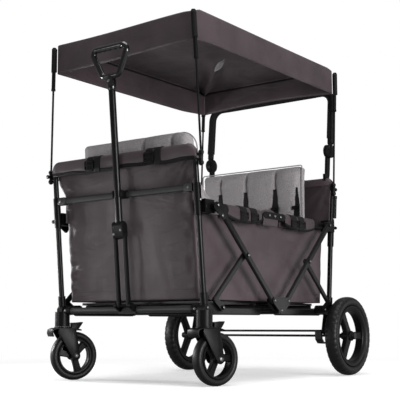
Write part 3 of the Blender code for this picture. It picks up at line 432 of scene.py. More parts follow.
def rim(sizes, first):
    """The channel that holds the tyre, the hub and three spokes, the first at an angle."""
    half, bead, opening, lip = sizes["rim"] / 2, sizes["bead"], sizes["opening"], sizes["bead"] + 0.0020
    channel = [(half - 0.003, bead - 0.001), (half - 0.001, lip), (half + 0.0005, lip),
               (half + 0.0014, lip - 0.0012), (half + 0.0010, bead - 0.0040),
               (half - 0.0030, opening + 0.0030), (half - 0.0060, opening)]
    reach, hub = sizes["hub_half"], sizes["hub"]
    barrel = [(reach * 0.62, hub), (reach * 0.72, hub * 0.76), (reach - 0.0015, hub * 0.70),
              (reach, hub * 0.62), (reach, 0.0)]
    return gather([lathe(both_sides(channel), True), lathe(both_sides(barrel), steps=48)]
                  + [spoke(sizes, first + 2 * pi / 3 * number) for number in range(3)])


def bolt(place):
    """A domed bolt head whose foot stands at a place along the axle."""
    sign = 1 if place > 0 else -1
    return lathe([(place + sign * BOLT_HEIGHT * rise, BOLT_RADIUS * wide)
                  for rise, wide in ((0, 0), (0, 1), (0.45, 1), (0.8, 0.75), (1, 0))], steps=24)


def on_axle(bm, wheel, turn=0.0):
    """Move a shape made about the X axis onto the axle of one of the CAD wheels."""
    points = [vert.co for vert in frame["nodes"][wheel].data.vertices]
    centre = [(min(p[i] for p in points) + max(p[i] for p in points)) / 2 for i in range(3)]
    bmesh.ops.transform(bm, matrix=Matrix.Translation(centre) @ Matrix.Rotation(turn, 4, "Z"),
                        verts=bm.verts[:])
    return bm


def ribbon(path, half, thickness):
    """A moulded band of even thickness along a path of (y, z) points, half wide each side of x = 0."""
    rows = []
    for index, point in enumerate(path):
        before, after = path[max(0, index - 1)], path[min(len(path) - 1, index + 1)]
        along = Vector((after[0] - before[0], after[1] - before[1])).normalized()
        far = Vector(point) + Vector((-along.y, along.x)) * thickness
        rows.append([(-half, *point), (half, *point), (half, *far), (-half, *far)])
    bm = skinned(rows)
    softened_edges(bm, [e for e in bm.edges if e.calc_face_angle() > 1.0], 0.0009, True)
    return bm


def hull(circles, x, edge=0.0018):
    """A plate round several circles, each (y, z, radius), between two x."""
    points = [Vector((y + radius * cos(2 * pi * k / 40), z + radius * sin(2 * pi * k / 40)))
              for y, z, radius in circles for k in range(40)]
    bm = plate([points[i] for i in geometry.convex_hull_2d(points)], x)
    softened_edges(bm, [e for e in bm.edges if abs(e.verts[0].co.x - e.verts[1].co.x) < 1e-6], edge)
    return bm


def fork():
    """The caster's fork about its axle: cheeks, a brow, the swivel's disc and the brake lever."""
    shapes = []
    for sign in (-1, 1):
        shapes.append(hull([(-0.0530, 0.0800, 0.0110), (-0.0110, 0.0790, 0.0110), (0.0, 0.0, 0.0145)],
                           between(sign * FORK_INSIDE, sign * FORK_OUTSIDE)))
        shapes.append(hull([(0.0, 0.0, 0.0100)], between(sign * 0.0255, sign * BOLT_FOOT), 0.0008))
    brow = ((0.0170, 0.0815), (0.0060, 0.0850), (-0.0100, 0.0878), (-0.0300, 0.0882), (-0.0500, 0.0882),
            (-0.0700, 0.0872), (-0.0800, 0.0835), (-0.0815, 0.0745), (-0.0770, 0.0640))
    shapes.append(ribbon(brow, FORK_OUTSIDE, -0.0038))
    disc = lathe([(-0.0035, 0.0), (-0.0035, 0.0265), (0.0, 0.0265), (0.0, 0.0)], steps=48)
    bmesh.ops.transform(disc, matrix=Matrix.Translation((0, FORK_POST, 0.0910))
                        @ Matrix.Rotation(pi / 2, 4, "Y"), verts=disc.verts[:])
    lever = plate(((-0.0200, 0.0890), (0.0080, 0.0850), (0.0150, 0.0905), (0.0215, 0.0990),
                   (0.0275, 0.1085), (0.0265, 0.1102), (0.0100, 0.1085), (-0.0120, 0.1078),
                   (-0.0125, 0.0920)), (-0.0125, 0.0125))
    softened_edges(lever, [e for e in lever.edges if e.calc_face_angle() > 0.9], 0.0010)
    return gather(shapes + [disc, lever])


def fitted(name, bm, material, part, wheel=None, turn=0.0):
    """A wheel part on its axle, in place of its CAD solid."""
    made = add_piece(name, on_axle(bm, wheel or part, turn), material, carrier(part), 38)
    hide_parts(part)


for side in (LEFT, RIGHT):
    tag, turn = SIDE_NAME[side], CASTER_TURN[side]
    fitted(f"rear_tyre_{tag}_round", tyre(REAR_WHEEL, True), rubber, f"rear_tyre_{tag}")
    fitted(f"rear_rim_{tag}_round", rim(REAR_WHEEL, 0.0), moulding, f"rear_rim_{tag}")
    fitted(f"caster_tyre_{tag}_round", tyre(CASTER_WHEEL, False), rubber, f"caster_tyre_{tag}",
           turn=turn)
    fitted(f"caster_rim_{tag}_round", rim(CASTER_WHEEL, FIRST_SPOKE[side]), moulding,
           f"caster_rim_{tag}", turn=turn)
    fitted(f"caster_fork_{tag}_shell", fork(), moulding, f"caster_fork_{tag}",
           f"caster_tyre_{tag}", turn)
    bolts = on_axle(gather([bolt(BOLT_FOOT), bolt(-BOLT_FOOT)]), f"caster_tyre_{tag}", turn)
    add_piece(f"caster_bolts_{tag}", bolts, zinc, carrier(f"caster_fork_{tag}"))

# Grip of the pull handle, foam of the push handle, rivets and clamps.
# The D-grip is polished nylon with finger ridges under its top bar. Closed-cell foam covers the
# push handle's bow, whose discs carry domed caps. Rivet heads hold the linkage together.
gloss, _ = finish_named("gloss black grip", (0.0040, 0.0040, 0.0042), 0.14, 0.0, 0.5)
vary(gloss, grain(gloss, 90.0, 0.05, 0.0004), 0.10, 0.20, "Roughness")
foam, _ = finish_named("black foam", (0.0060, 0.0060, 0.0062), 0.80, 0.0, 0.2)
vary(foam, grain(foam, 1500.0, 0.5, 0.0005, 5.0), 0.68, 0.90, "Roughness")
CENTRE_Y = -0.0227           # middle between the end frames
LEAN = tan(radians(5.4))
POST_Y, POST_Z = 0.377, 0.225            # a post's distance from the middle, at this height
GRIP_RING = ((-0.0330, 0.9535), (0.0330, 0.9535), (0.0795, 1.0440), (-0.0795, 1.0440))
GRIP_BEND, GRIP_FLAT, GRIP_DEEP = 0.017, 0.0098, 0.0112      # the bar's radii in the ring and across
RIDGE, RIDGE_PITCH, RIDGE_HALF = 0.0024, 0.0216, 0.054
COLLAR_Z, TUBE_Z, TUBE_RADIUS = (0.9083, 0.9560), (0.640, 0.930), 0.0086
PULL_OFFSET, PUSH_OFFSET = 0.0245, 0.008
PUSH_X, PUSH_TOP, PUSH_FOAM_LOW, PUSH_BEND, FOAM_RADIUS = 0.2753, 1.050, 0.868, 0.045, 0.0146
HINGE_Z = 0.817
PIN_MIDDLE, PIN_FOOT = (0.18973, 0.39111), (0.04219, 0.25422)
PIN_SLIDER, PIN_BRACKET = (0.33726, 0.528), (0.309, 0.229)
BAR_Z = {FRONT: 0.583, REAR: 0.5455}         # height of the sliders' cross tubes
POST_PIN_Z = {FRONT: 0.545, REAR: 0.530}
POLE_X, POLE_STAND = 0.3115, 0.668           # a canopy pole's foot, behind the post at this height
BALL_RADIUS, KNOB_RISE = 0.0088, 0.0175


def post_y(end, z):
    """Y of a corner post's axis at height z."""
    return CENTRE_Y + end * (POST_Y + (z - POST_Z) * LEAN)


def block(x, y, z, edge=0.0008):
    """A block with rounded edges between low and high x, y and z."""
    bm = bmesh.new()
    bmesh.ops.create_cube(bm, size=1.0, matrix=Matrix.Translation([(a + b) / 2 for a, b in (x, y, z)])
                          @ Matrix.Diagonal([b - a for a, b in (x, y, z)] + [1.0]))
    softened_edges(bm, bm.edges[:], edge)
    return bm


def turned_along(start, toward, profile, steps=40):
    """Turn a profile of (distance from start, radius) about the line from start toward a point."""
    bm = lathe(profile, steps=steps)
    turn = (Vector(toward) - Vector(start)).to_track_quat("X", "Z").to_matrix().to_4x4()
    bmesh.ops.transform(bm, matrix=Matrix.Translation(start) @ turn, verts=bm.verts[:])
    return bm


def stud(place, facing, radius=0.0042, height=0.0022):
    """A rivet head on a face that looks in a direction."""
    profile = [(-0.0004, 0.0), (-0.0004, radius), (height * 0.4, radius), (height * 0.85, radius * 0.7),
               (height, 0.0)]
    return turned_along(place, Vector(place) + Vector(facing), profile, 20)


def rounded(corners, bend, closed, steps=8):
    """A path through corners, with arcs of a bend radius in between."""
    path = []
    count = len(corners)
    for index, corner in enumerate(corners):
        if not closed and index in (0, count - 1):
            path.append(corner)
            continue
        before = (corners[index - 1] - corner).normalized()
        after = (corners[(index + 1) % count] - corner).normalized()
        half = before.angle(after) / 2
        centre = corner + (before + after).normalized() * (bend / sin(half))
        first = corner + before * (bend / tan(half)) - centre
        last = corner + after * (bend / tan(half)) - centre
        path += [centre + first.slerp(last, step / steps).normalized() * bend for step in range(steps + 1)]
    return path


def sweep(path, size, closed=False, sides=20):
    """A tube along a flat path: size(index, angle) gives its radius in the path's plane and across."""
    normal = (path[1] - path[0]).cross(path[-2] - path[0]).normalized()
    rings, count = [], len(path)
    for index, point in enumerate(path):
        before = path[index - 1] if closed or index else point
        after = path[(index + 1) % count] if closed or index < count - 1 else point
        inward = normal.cross((after - before).normalized())
        ring = []
        for angle in (2 * pi * step / sides for step in range(sides)):
            wide, deep = size(index, angle)
            ring.append(point + inward * (wide * cos(angle)) + normal * (deep * sin(angle)))
        rings.append(ring)
    return skinned(rings, closed)


def pull_point(z, x=0.0, out=0.0):
    return Vector((x, post_y(FRONT, z) - PULL_OFFSET - out, z))


def grip():
    """The closed ring with its ridges, on the collar and the inner tube."""
    path = rounded([pull_point(z, x) for x, z in GRIP_RING], GRIP_BEND, True)
    dense = []
    for index, point in enumerate(path):
        after = path[(index + 1) % len(path)]
        pieces = max(1, int((after - point).length / 0.0035))
        dense += [point.lerp(after, step / pieces) for step in range(pieces)]

    def size(index, angle):
        point = dense[index]
        ridge = 0.0
        if point.z > GRIP_RING[2][1] - 0.0005 and abs(point.x) < RIDGE_HALF:
            ridge = RIDGE * (0.5 + 0.5 * cos(2 * pi * point.x / RIDGE_PITCH)) * max(0.0, cos(angle))
        facet = 1 - 0.07 * abs(sin(2 * angle))
        return (GRIP_FLAT + ridge) * facet, GRIP_DEEP * facet

    low, high = (pull_point(z) for z in COLLAR_Z)
    reach = (high - low).length
    collar = turned_along(low, high, [
        (0.0, 0.0), (0.0, 0.0118), (0.0012, 0.0128), (0.0120, 0.0130), (0.0125, 0.0142),
        (0.0300, 0.0145), (0.0315, 0.0134), (reach, 0.0128), (reach, 0.0)])
    low, high = (pull_point(z) for z in TUBE_Z)
    reach = (high - low).length
    tube = turned_along(low, high, [(0.0, 0.0), (0.0, TUBE_RADIUS), (reach, TUBE_RADIUS), (reach, 0.0)])
    return gather([sweep(dense, size, True, 24), collar, tube])


made = add_piece("pull_handle_grip_ring", grip(), gloss, carrier("pull_handle_grip"), 50)
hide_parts("pull_handle_grip")
add_piece("pull_handle_grip_screw", stud(pull_point(0.936, 0.0, 0.0142), (0, -1, 0), 0.0040, 0.0024),
          zinc, carrier("pull_handle_grip"))
bolts = [stud(pull_point(z, x, 0.0122), (0, -1, 0), 0.0044, 0.0026)
         for x, z in ((-0.014, 0.481), (-0.014, 0.458), (0.014, 0.470))]
bolts += [stud((side * 0.0255, pull_point(0.238).y, 0.238), (side, 0, 0), 0.0052, 0.0005)
          for side in (LEFT, RIGHT)]
add_piece("pull_handle_bolts", gather(bolts), zinc, carrier("pull_handle_yoke"))


def push_point(z, x=0.0):
    return Vector((x, post_y(REAR, z) + PUSH_OFFSET, z))


soften("push_handle", foam)
bow = rounded([push_point(z, x) for z, x in ((PUSH_FOAM_LOW, -PUSH_X), (PUSH_TOP, -PUSH_X),
                                             (PUSH_TOP, PUSH_X), (PUSH_FOAM_LOW, PUSH_X))],
              PUSH_BEND, False, 12)
add_piece("push_handle_foam", sweep(bow, lambda index, angle: (FOAM_RADIUS, FOAM_RADIUS)), foam,
          carrier("push_handle"), 50)


def hinge_cap(x, facing):
    """A domed cap on the push handle's hinge."""
    bm = lathe([(0.0, 0.0), (0.0, 0.0235), (0.0022, 0.0225), (0.0038, 0.0180), (0.0046, 0.0)], steps=48)
    bmesh.ops.transform(bm, matrix=Matrix.Translation(push_point(HINGE_Z, x))
                        @ Matrix.Rotation(0 if facing > 0 else pi, 4, "Z"), verts=bm.verts[:])
    return bm


for side in (LEFT, RIGHT):
    add_piece(f"push_hub_cap_{SIDE_NAME[side]}", hinge_cap(side * 0.2598, -side), moulding,
              carrier("rear_hoop"))
add_piece("push_handle_caps", gather([hinge_cap(side * 0.2805, side) for side in (LEFT, RIGHT)]), moulding,
          carrier("push_handle"))


def rivets(name, part, places):
    """Zinc heads on the body of one CAD node, each (place, facing)."""
    add_piece(name, gather([stud(*place) for place in places]), zinc, carrier(part))


def pin_side(side, end, pin, x):
    """A pin's head on a side of the wagon; the pin is (distance from the middle, height)."""
    return ((side * x, CENTRE_Y + end * pin[0], pin[1]), (side, 0, 0))


def pole_clamp(end, side):
    """A ball clamp at the canopy pole's foot and its knob."""
    foot = Vector((side * POLE_X, post_y(end, POLE_STAND), POLE_FOOT_Z)) + foot_shift(end, side)
    ball = [(-BALL_RADIUS * cos(pi * k / 10), max(0.0, BALL_RADIUS * sin(pi * k / 10))) for k in range(11)]
    up = Vector((0, 0, 1))
    shapes = [turned_along(foot + up * rise, foot + up, ball, 24) for rise in (0.0020, 0.0330)]
    knob = foot + up * KNOB_RISE
    out = Vector((0, end, 0))
    shapes.append(turned_along(knob + out * 0.004, knob + out, [
        (0.0, 0.0), (0.0, 0.0045), (0.0080, 0.0045), (0.0085, 0.0065), (0.0120, 0.0065), (0.0125, 0.0)], 20))
    name, tag = END_NAME[end], SIDE_NAME[side]
    add_piece(f"{name}_pole_clamp_{tag}", gather(shapes), moulding, f"{name}_frame")
    add_piece(f"{name}_pole_screw_{tag}", stud(knob + out * 0.0165, out, 0.0036, 0.0018), zinc,
              f"{name}_frame")


def crossbar_socket(end, side):
    """The socket that takes the slider's cross tube has the tube's colour in front."""
    y, z = post_y(end, BAR_Z[end]), BAR_Z[end]
    cover = block(between(side * 0.2460, side * 0.2788), (y - 0.0098, y + 0.0098), (z - 0.0129, z + 0.0129),
                  0.0030)
    add_piece(f"{END_NAME[end]}_crossbar_socket_{SIDE_NAME[side]}", cover, crossbar_paint,
              carrier(f"{END_NAME[end]}_slider_{SIDE_NAME[side]}"))


for side in (LEFT, RIGHT):
    tag = SIDE_NAME[side]
    for end in (FRONT, REAR):
        name, bar_z, pin_z = END_NAME[end], BAR_Z[end], POST_PIN_Z[end]
        rivets(f"{name}_slider_rivets_{tag}", f"{name}_slider_{tag}",
               [pin_side(side, end, PIN_SLIDER, 0.3258),
                ((side * 0.2640, post_y(end, bar_z) + end * 0.0100, bar_z), (0, end, 0)),
                ((side * 0.3016, post_y(end, pin_z), pin_z), (side, 0, 0))])
        rivets(f"{name}_link_rivets_{tag}", f"{name}_short_link_{tag}",
               [pin_side(side, end, PIN_MIDDLE, 0.3258)])
        rivets(f"{name}_bracket_rivets_{tag}", f"{name}_corner_bracket_{tag}",
               [pin_side(side, end, PIN_BRACKET, 0.3135), pin_side(side, end, (POST_Y, 0.2290), 0.3035),
                ((side * 0.2640, CENTRE_Y + end * (POST_Y + 0.0135), 0.2255), (0, end, 0))])
        crossbar_socket(end, side)
        pole_clamp(end, side)
    rivets(f"foot_rivets_{tag}", "centre_frame",
           [pin_side(side, end, PIN_FOOT, 0.3275) for end in (FRONT, REAR)]
           + [pin_side(side, 1, (0.0, 0.2235), 0.3262)])
    rivets(f"hinge_rivets_{tag}", f"top_hinge_{tag}",
           [pin_side(side, 1, (y, 0.531), 0.3052) for y in (-0.034, 0.0, 0.034)])

# Link plates, slider bolt, pole holders and handle clip.
# Moulded plates with two rivets cover the front long links' heads, and short capped tubes stand
# behind the rear posts. A fork on the crossbar snaps round the pull handle. Under the handle's yoke
# the lower bar's middle is a black moulded saddle.
PLATE_X = (0.3264, 0.3294)
HOLDER_Z, HOLDER_RADIUS, HOLDER_CAP = (0.563, 0.646), 0.0074, 0.0084
SLIDER_PIN_Z, SLIDER_BOLT_Z = 0.527, 0.5195
SADDLE_HALF = 0.060
for side in (LEFT, RIGHT):
    tag = SIDE_NAME[side]
    link_plate = hull([(-0.3860, 0.5262, 0.0145), (-0.3400, 0.5215, 0.0145), (-0.3520, 0.5010, 0.0115)],
                      between(side * PLATE_X[0], side * PLATE_X[1]), 0.0010)
    add_piece(f"front_link_plate_{tag}", link_plate, moulding, carrier(f"front_slider_{tag}"))
    rivets(f"front_link_plate_rivets_{tag}", f"front_slider_{tag}",
           [((side * PLATE_X[1], y, z), (side, 0, 0)) for y, z in ((-0.3790, 0.5310), (-0.3570, 0.5020))])

foot = Vector((-0.2990, post_y(FRONT, SLIDER_BOLT_Z), SLIDER_BOLT_Z))
add_piece("front_slider_bolt_L", turned_along(foot, foot + Vector((-1, 0, 0)), [
    (0.0, 0.0), (0.0, 0.0040), (0.0080, 0.0040), (0.0082, 0.0062), (0.0140, 0.0062), (0.0152, 0.0048),
    (0.0152, 0.0)], 24), zinc, carrier("front_slider_L"))

for side in (LEFT, RIGHT):
    tag = SIDE_NAME[side]
    low, high = (Vector((side * 0.2930, post_y(REAR, z) + 0.0190, z)) for z in HOLDER_Z)
    reach = (high - low).length
    holder = turned_along(low, high, [
        (0.0, 0.0), (0.0, 0.0062), (0.0012, HOLDER_RADIUS), (reach - 0.0100, HOLDER_RADIUS),
        (reach - 0.0095, HOLDER_CAP), (reach - 0.0010, HOLDER_CAP), (reach, 0.0070), (reach, 0.0)])
    add_piece(f"rear_pole_holder_{tag}", holder, powder_coat, "rear_frame")
    pin = Vector((side * 0.2960, post_y(REAR, SLIDER_PIN_Z) + 0.0110, SLIDER_PIN_Z))
    add_piece(f"rear_slider_pin_{tag}", turned_along(pin, pin + Vector((0, 1, 0)), [
        (0.0, 0.0), (0.0, 0.0038), (0.0100, 0.0038), (0.0105, 0.0056), (0.0150, 0.0056), (0.0160, 0.0)],
        20), moulding, "rear_frame")

saddle = bpy.data.objects["front_bottom_crossbar_finished"].data
saddle.materials.append(moulding)
for face in saddle.polygons:
    face.material_index = int(all(abs(saddle.vertices[i].co.x) < SADDLE_HALF for i in face.vertices))

clip_z = BAR_Z[FRONT]
clip_y = post_y(FRONT, clip_z)
clip = [block((-0.0226, 0.0226), (clip_y - 0.0092, clip_y + 0.0024),
              (clip_z - 0.0131, clip_z + 0.0131), 0.0020)]
clip += [block(between(side * 0.0125, side * 0.0196), (clip_y - 0.0306, clip_y - 0.0060),
               (clip_z - 0.0111, clip_z + 0.0111), 0.0016) for side in (LEFT, RIGHT)]
add_piece("pull_handle_clip", gather(clip), moulding, carrier("front_slider_crossbar"))

# Tub end walls.
# Coated polyester in taupe grey, a tight plain weave with a soft sheen. Each wall rises inside its
# frame and turns round the tub's corners. A cuff over the hoop's top tube carries it, with a dark
# binding folded over the cuff's free edge. The front cuff's pieces get meshes of their own.
TAUPE = (0.059, 0.0435, 0.0485)
WALL_TAUPE = (0.0570, 0.0415, 0.0460)
WALL_HALF = 0.2635
WALL_INSET, WALL_CLEAR = 0.0140, 0.0104      # inside the plane of the posts, and the least of it
WALL_FLARE = {FRONT: (0.59, 0.665), REAR: (0.512, 0.550)}    # heights where a wall widens to the posts
FLARE_WIDTH = 0.0285
TUB_CORNER = 0.010
TUB_BOTTOM, TUB_TOP = 0.253, 0.698
PUCKER = {LEFT: 0.0105, RIGHT: 0.0060}       # depth of the gathers beside the side seams
PLEAT_DEPTH = {(FRONT, LEFT): 0.0016, (FRONT, RIGHT): 0.0030, (REAR, LEFT): 0.0016, (REAR, RIGHT): 0.0012}
HOOP_TOP, HOOP_STRAIGHT, HOOP_DROP = 0.700, 0.268, 0.030
CUFF_END, CUFF_RADIUS, CUFF_LOW = 0.2995, 0.0125, 0.6645
CUFF_STRAPS = ((-0.104, 0.028), (0.143, 0.029))      # centre and half width of each pair


def ripple(a, b, seed):
    return noise.noise(Vector((a, b, seed)))


def stitched(made, height, flat, seam):
    """Sink a stitched line at a flat length into a height."""
    parts = node(made, "SeparateXYZ", {"Vector": flat})
    away = node(made, "Math", {0: parts.outputs["Y"], 1: seam}, operation="SUBTRACT")
    size = node(made, "Math", {0: away.outputs[0]}, operation="ABSOLUTE")
    groove = node(made, "MapRange", {"Value": size.outputs[0], "From Max": 0.0016, "To Min": -4.0,
                                     "To Max": 0.0})
    return node(made, "Math", {0: height, 1: groove.outputs[0]}).outputs[0]


def wrinkled(made, place, depth):
    """Soft wrinkles, long slack ones under short ones."""
    last = None
    for scale, stretch, share in ((5.0, (1.0, 1.0, 0.45), 1.0), (11.0, (0.7, 0.7, 1.5), 0.30)):
        drawn = node(made, "Mapping", {"Vector": place, "Scale": stretch, "Rotation": (0.5, 0.3, 0.4)})
        slack = node(made, "TexNoise", {"Vector": drawn.outputs["Vector"], "Scale": scale, "Detail": 1.5,
                                        "Distortion": 1.4})
        inputs = {"Height": slack.outputs["Fac"], "Strength": 0.9, "Distance": depth * share}
        if last:
            inputs["Normal"] = last
        last = node(made, "Bump", inputs).outputs["Normal"]
    return last


def woven(name, colour, roughness=0.48, pitch=0.0011, cloud=0.10, seams=(), creases=0.0, coat=0.0):
    """Plain weave on a piece's flat coordinates, with cloudy colour; seams are stitched lines at
    those flat lengths, creases the depth of soft wrinkles, coat the gloss of the coating."""
    made, shader = finish_named(name, colour, roughness, 0.0, 0.30)
    shader.inputs["Sheen Weight"].default_value = 0.04
    shader.inputs["Sheen Roughness"].default_value = 0.4
    shader.inputs["Coat Weight"].default_value = coat
    shader.inputs["Coat Roughness"].default_value = 0.34
    flat = node(made, "UVMap").outputs["UV"]
    place = node(made, "TexCoord").outputs["Object"]
    warp, weft = (node(made, "TexWave", {"Vector": flat, "Scale": 2 * pi / 20 / pitch, "Distortion": 0.6},
                       bands_direction=direction).outputs["Fac"] for direction in ("X", "Y"))
    height = node(made, "Math", {0: warp, 1: weft}, operation="MULTIPLY").outputs[0]
    for seam in seams:
        height = stitched(made, height, flat, seam)
    weave = node(made, "Bump", {"Height": height, "Strength": 0.35, "Distance": 0.0003})
    made.node_tree.links.new(weave.outputs["Normal"], shader.inputs["Normal"])
    if creases:
        made.node_tree.links.new(wrinkled(made, place, creases), weave.inputs["Normal"])
    cloudy = node(made, "TexNoise", {"Vector": place, "Scale": 7.0, "Detail": 4.0})
    vary(made, cloudy, tuple(c * (1 - cloud) for c in colour), tuple(c * (1 + cloud) for c in colour),
         "Base Color")
    vary(made, cloudy, roughness + 0.05, roughness - 0.05, "Roughness")
    return made


def grid_place(vert, columns, rows):
    """The column and row of a point in a grid of size 0.5."""
    return round((vert.co.x + 0.5) * columns), round((vert.co.y + 0.5) * rows)


def sheet_grid(columns, rows, place, flat):
    """A cloth grid: place(u, v) is the point at shares u and v of its flat width and length."""
    bm = bmesh.new()
    bmesh.ops.create_grid(bm, x_segments=columns, y_segments=rows, size=0.5)
    layer = bm.loops.layers.uv.new("flat")
    for face in bm.faces:
        for loop in face.loops:
            column, row = grid_place(loop.vert, columns, rows)
            loop[layer].uv = (column / columns * flat[0], row / rows * flat[1])
    for vert in bm.verts:
        column, row = grid_place(vert, columns, rows)
        vert.co = place(column / columns, row / rows)
    return bm


def cloth(name, bm, material, body, thickness=0.0012):
    """A sheet of cloth with its thickness."""
    made = add_piece(name, bm, material, body, 179)
    made.modifiers.new("cloth thickness", "SOLIDIFY").thickness = thickness
    made.modifiers["cloth thickness"].offset = 0.0
    return made


taupe = woven("taupe grey woven polyester", TAUPE, creases=0.012, coat=0.06)
taupe_hemmed = woven("taupe polyester with a stitched hem", WALL_TAUPE, cloud=0.16, seams=(0.029,),
                     creases=0.010, coat=0.08)
# The rear wall's cloth is the wall taupe at six tenths: painted shade for the rear wall's darker look inside
# the tub.
rear_wall_painted_shade = woven("taupe polyester with painted shade", tuple(0.60 * c for c in WALL_TAUPE), cloud=0.16,
                    creases=0.010, coat=0.03)
taupe_sleeve = woven("brushed taupe polyester", tuple(0.74 * c for c in TAUPE), creases=0.012, coat=0.04)
binding_tape = woven("dark binding tape", (0.0070, 0.0065, 0.0066), 0.6, 0.0008)
webbing = woven("black webbing", (0.0078, 0.0076, 0.0076), 0.55, 0.0022)
for dark in (binding_tape, webbing):
    dark.node_tree.nodes["Principled BSDF"].inputs["Specular IOR Level"].default_value = 0.12
    dark.node_tree.nodes["Principled BSDF"].inputs["Sheen Weight"].default_value = 0.01


def wall_inset(end, x, z, half):
    """How far an end wall stands inside the posts' plane: slack, gathers and pleats from its corners."""
    edge = exp(-((half - abs(x)) / 0.024) ** 2)
    inset = WALL_INSET - 0.005 * smooth((z - 0.60) / 0.09)
    inset += 0.0035 * ripple(x * 5.0, z * 4.0, 3.0 + end) + 0.0022 * ripple(x * 3 + z * 6, z * 9 - x * 5, 9.0)
    gathers = exp(-((half - 0.020 - abs(x)) / 0.016) ** 2) * smooth((z - 0.27) / 0.03)
    inset -= PUCKER[LEFT if x < 0 else RIGHT] * gathers * ripple(x * 14, z * 34, 21.0 + end)
    inset -= 0.0010 * edge * ripple(0.0, z * 60, 5.0)
    for side in (LEFT, RIGHT):
        from_x, from_z = x - side * 0.285, z - HOOP_TOP
        pleats = sin(13 * atan2(-from_z, abs(from_x)) + 6 * from_x)
        inset += PLEAT_DEPTH[end, side] * pleats * exp(-((from_x ** 2 + from_z ** 2) ** 0.5 / 0.16) ** 2)
    inset += 0.0016 * ripple(x * 4 - z * 9, z * 22 + x * 6, 31.0) * smooth((z - 0.57) / 0.03)
    return max(inset, WALL_CLEAR)


def end_wall(end):
    flare, flared = WALL_FLARE[end]

    def place(u, v):
        z = TUB_BOTTOM + v * (TUB_TOP - TUB_BOTTOM)
        half = WALL_HALF + FLARE_WIDTH * smooth((z - flare) / (flared - flare))
        round_off = TUB_CORNER * (1 - smooth((z - flare + 0.01) / 0.045)) + 0.0005
        x = (2 * u - 1) * half
        inset = wall_inset(end, x, z, half)
        past = max(0.0, abs(x) - (half - round_off)) / round_off * pi / 2
        if past:
            x = (half - round_off + round_off * sin(past)) * (1 if x > 0 else -1)
            inset += round_off * (1 - cos(past))
        return (x, post_y(end, z) - end * inset, z)

    # The rear wall takes the taupe darkened as painted shade.
    wall = cloth(f"{END_NAME[end]}_wall_cloth", sheet_grid(110, 90, place, (0.53, TUB_TOP - TUB_BOTTOM)),
                 taupe_hemmed if end == FRONT else rear_wall_painted_shade, f"{END_NAME[end]}_frame")
    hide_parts(f"{END_NAME[end]}_wall")
    if end == FRONT:        # the front wall gets a mesh of its own
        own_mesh(wall)


def folded_over(v, radius, top, inner, outer, slack, lift=0.0):
    """The section of cloth folded over a tube: up inside, over the top and down outside."""
    along = v * (inner + pi * radius + outer)
    if along < inner:
        return -radius, top - inner + along
    if along < inner + pi * radius:
        angle = (along - inner) / radius
        return -radius * cos(angle), top + radius * sin(angle) + lift
    down = along - inner - pi * radius
    return radius + slack * sin(pi * min(1.0, down / outer)), top - down


def bound_edge(v, away, low, leg, bend):
    """The section of a binding on a cloth edge at a height low: down inside, under it and up outside."""
    along = v * (2 * leg + pi * bend)
    if along < leg:
        return away - bend, low + leg - along
    if along < leg + pi * bend:
        angle = (along - leg) / bend
        return away - bend * cos(angle), low - bend * sin(angle)
    return away + bend, low + (along - leg - pi * bend)


def cuff_fall(x, grow=0.0):
    """Share of its full size that a cuff has at x: it closes round the hoop's bent corners."""
    beyond = min(1.0, max(0.0, (abs(x) - HOOP_STRAIGHT) / (CUFF_END + grow - HOOP_STRAIGHT)))
    return (1 - beyond * beyond) ** 0.5


def over_tube(end, x, v, grow, low_in, low_out, slack=0.0):
    """A point on cloth folded over the hoop's top tube, grow thicker than the cuff."""
    fall = cuff_fall(x, grow)
    top = HOOP_TOP - HOOP_DROP * (1 - fall)
    away, z = folded_over(v, (CUFF_RADIUS + grow) * fall + 0.0006, top, max(0.002, top - low_in),
                          max(0.004, top - low_out), slack * fall)
    return (x, post_y(end, z) + end * away, z)


def spread(u, half):
    """X for a share of a cuff's width, closer together near its ends."""
    step = 2 * u - 1
    return half * (0.62 * step + 0.38 * sin(step * pi / 2))


def cuff_low(x):
    return CUFF_LOW + 0.0022 * sin(x * 21 + 0.6) + 0.0012 * sin(x * 57)


def crumple_up(piece, end):
    if end == FRONT:
        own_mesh(piece)


def cuff(end):
    def place(u, v):
        x = spread(u, CUFF_END)
        slack = 0.0020 + 0.0016 * ripple(u * 14, v * 3, 5.0 + end)
        return over_tube(end, x, v, 0.0, 0.684, cuff_low(x), slack)

    def binding(u, v):
        x = spread(u, 0.2935)
        away, z = bound_edge(v, CUFF_RADIUS * cuff_fall(x) + 0.0006, cuff_low(x), 0.0088, 0.0022)
        return (x, post_y(end, z) + end * away, z)

    body = f"{END_NAME[end]}_frame"
    made = cloth(f"{END_NAME[end]}_cuff", sheet_grid(120, 34, place, (0.60, 0.095)), taupe, body)
    tape = cloth(f"{END_NAME[end]}_cuff_binding", sheet_grid(110, 12, binding, (0.59, 0.020)),
                 binding_tape, body)
    crumple_up(made, end)
    crumple_up(tape, end)


def ladder_lock(x, y, z):
    """A webbing buckle: a frame with a middle bar, x, y and z at its centre on the cuff."""
    w, h, t = 0.0175, 0.0135, 0.0022
    bars = [((x - w, x + w), (z + k * h - 0.0022, z + k * h + 0.0022)) for k in (-1, 0, 1)]
    bars += [((x + k * w - 0.0020, x + k * w + 0.0020), (z - h, z + h)) for k in (-1, 1)]
    return [block(bx, (y - t, y + t), bz) for bx, bz in bars]


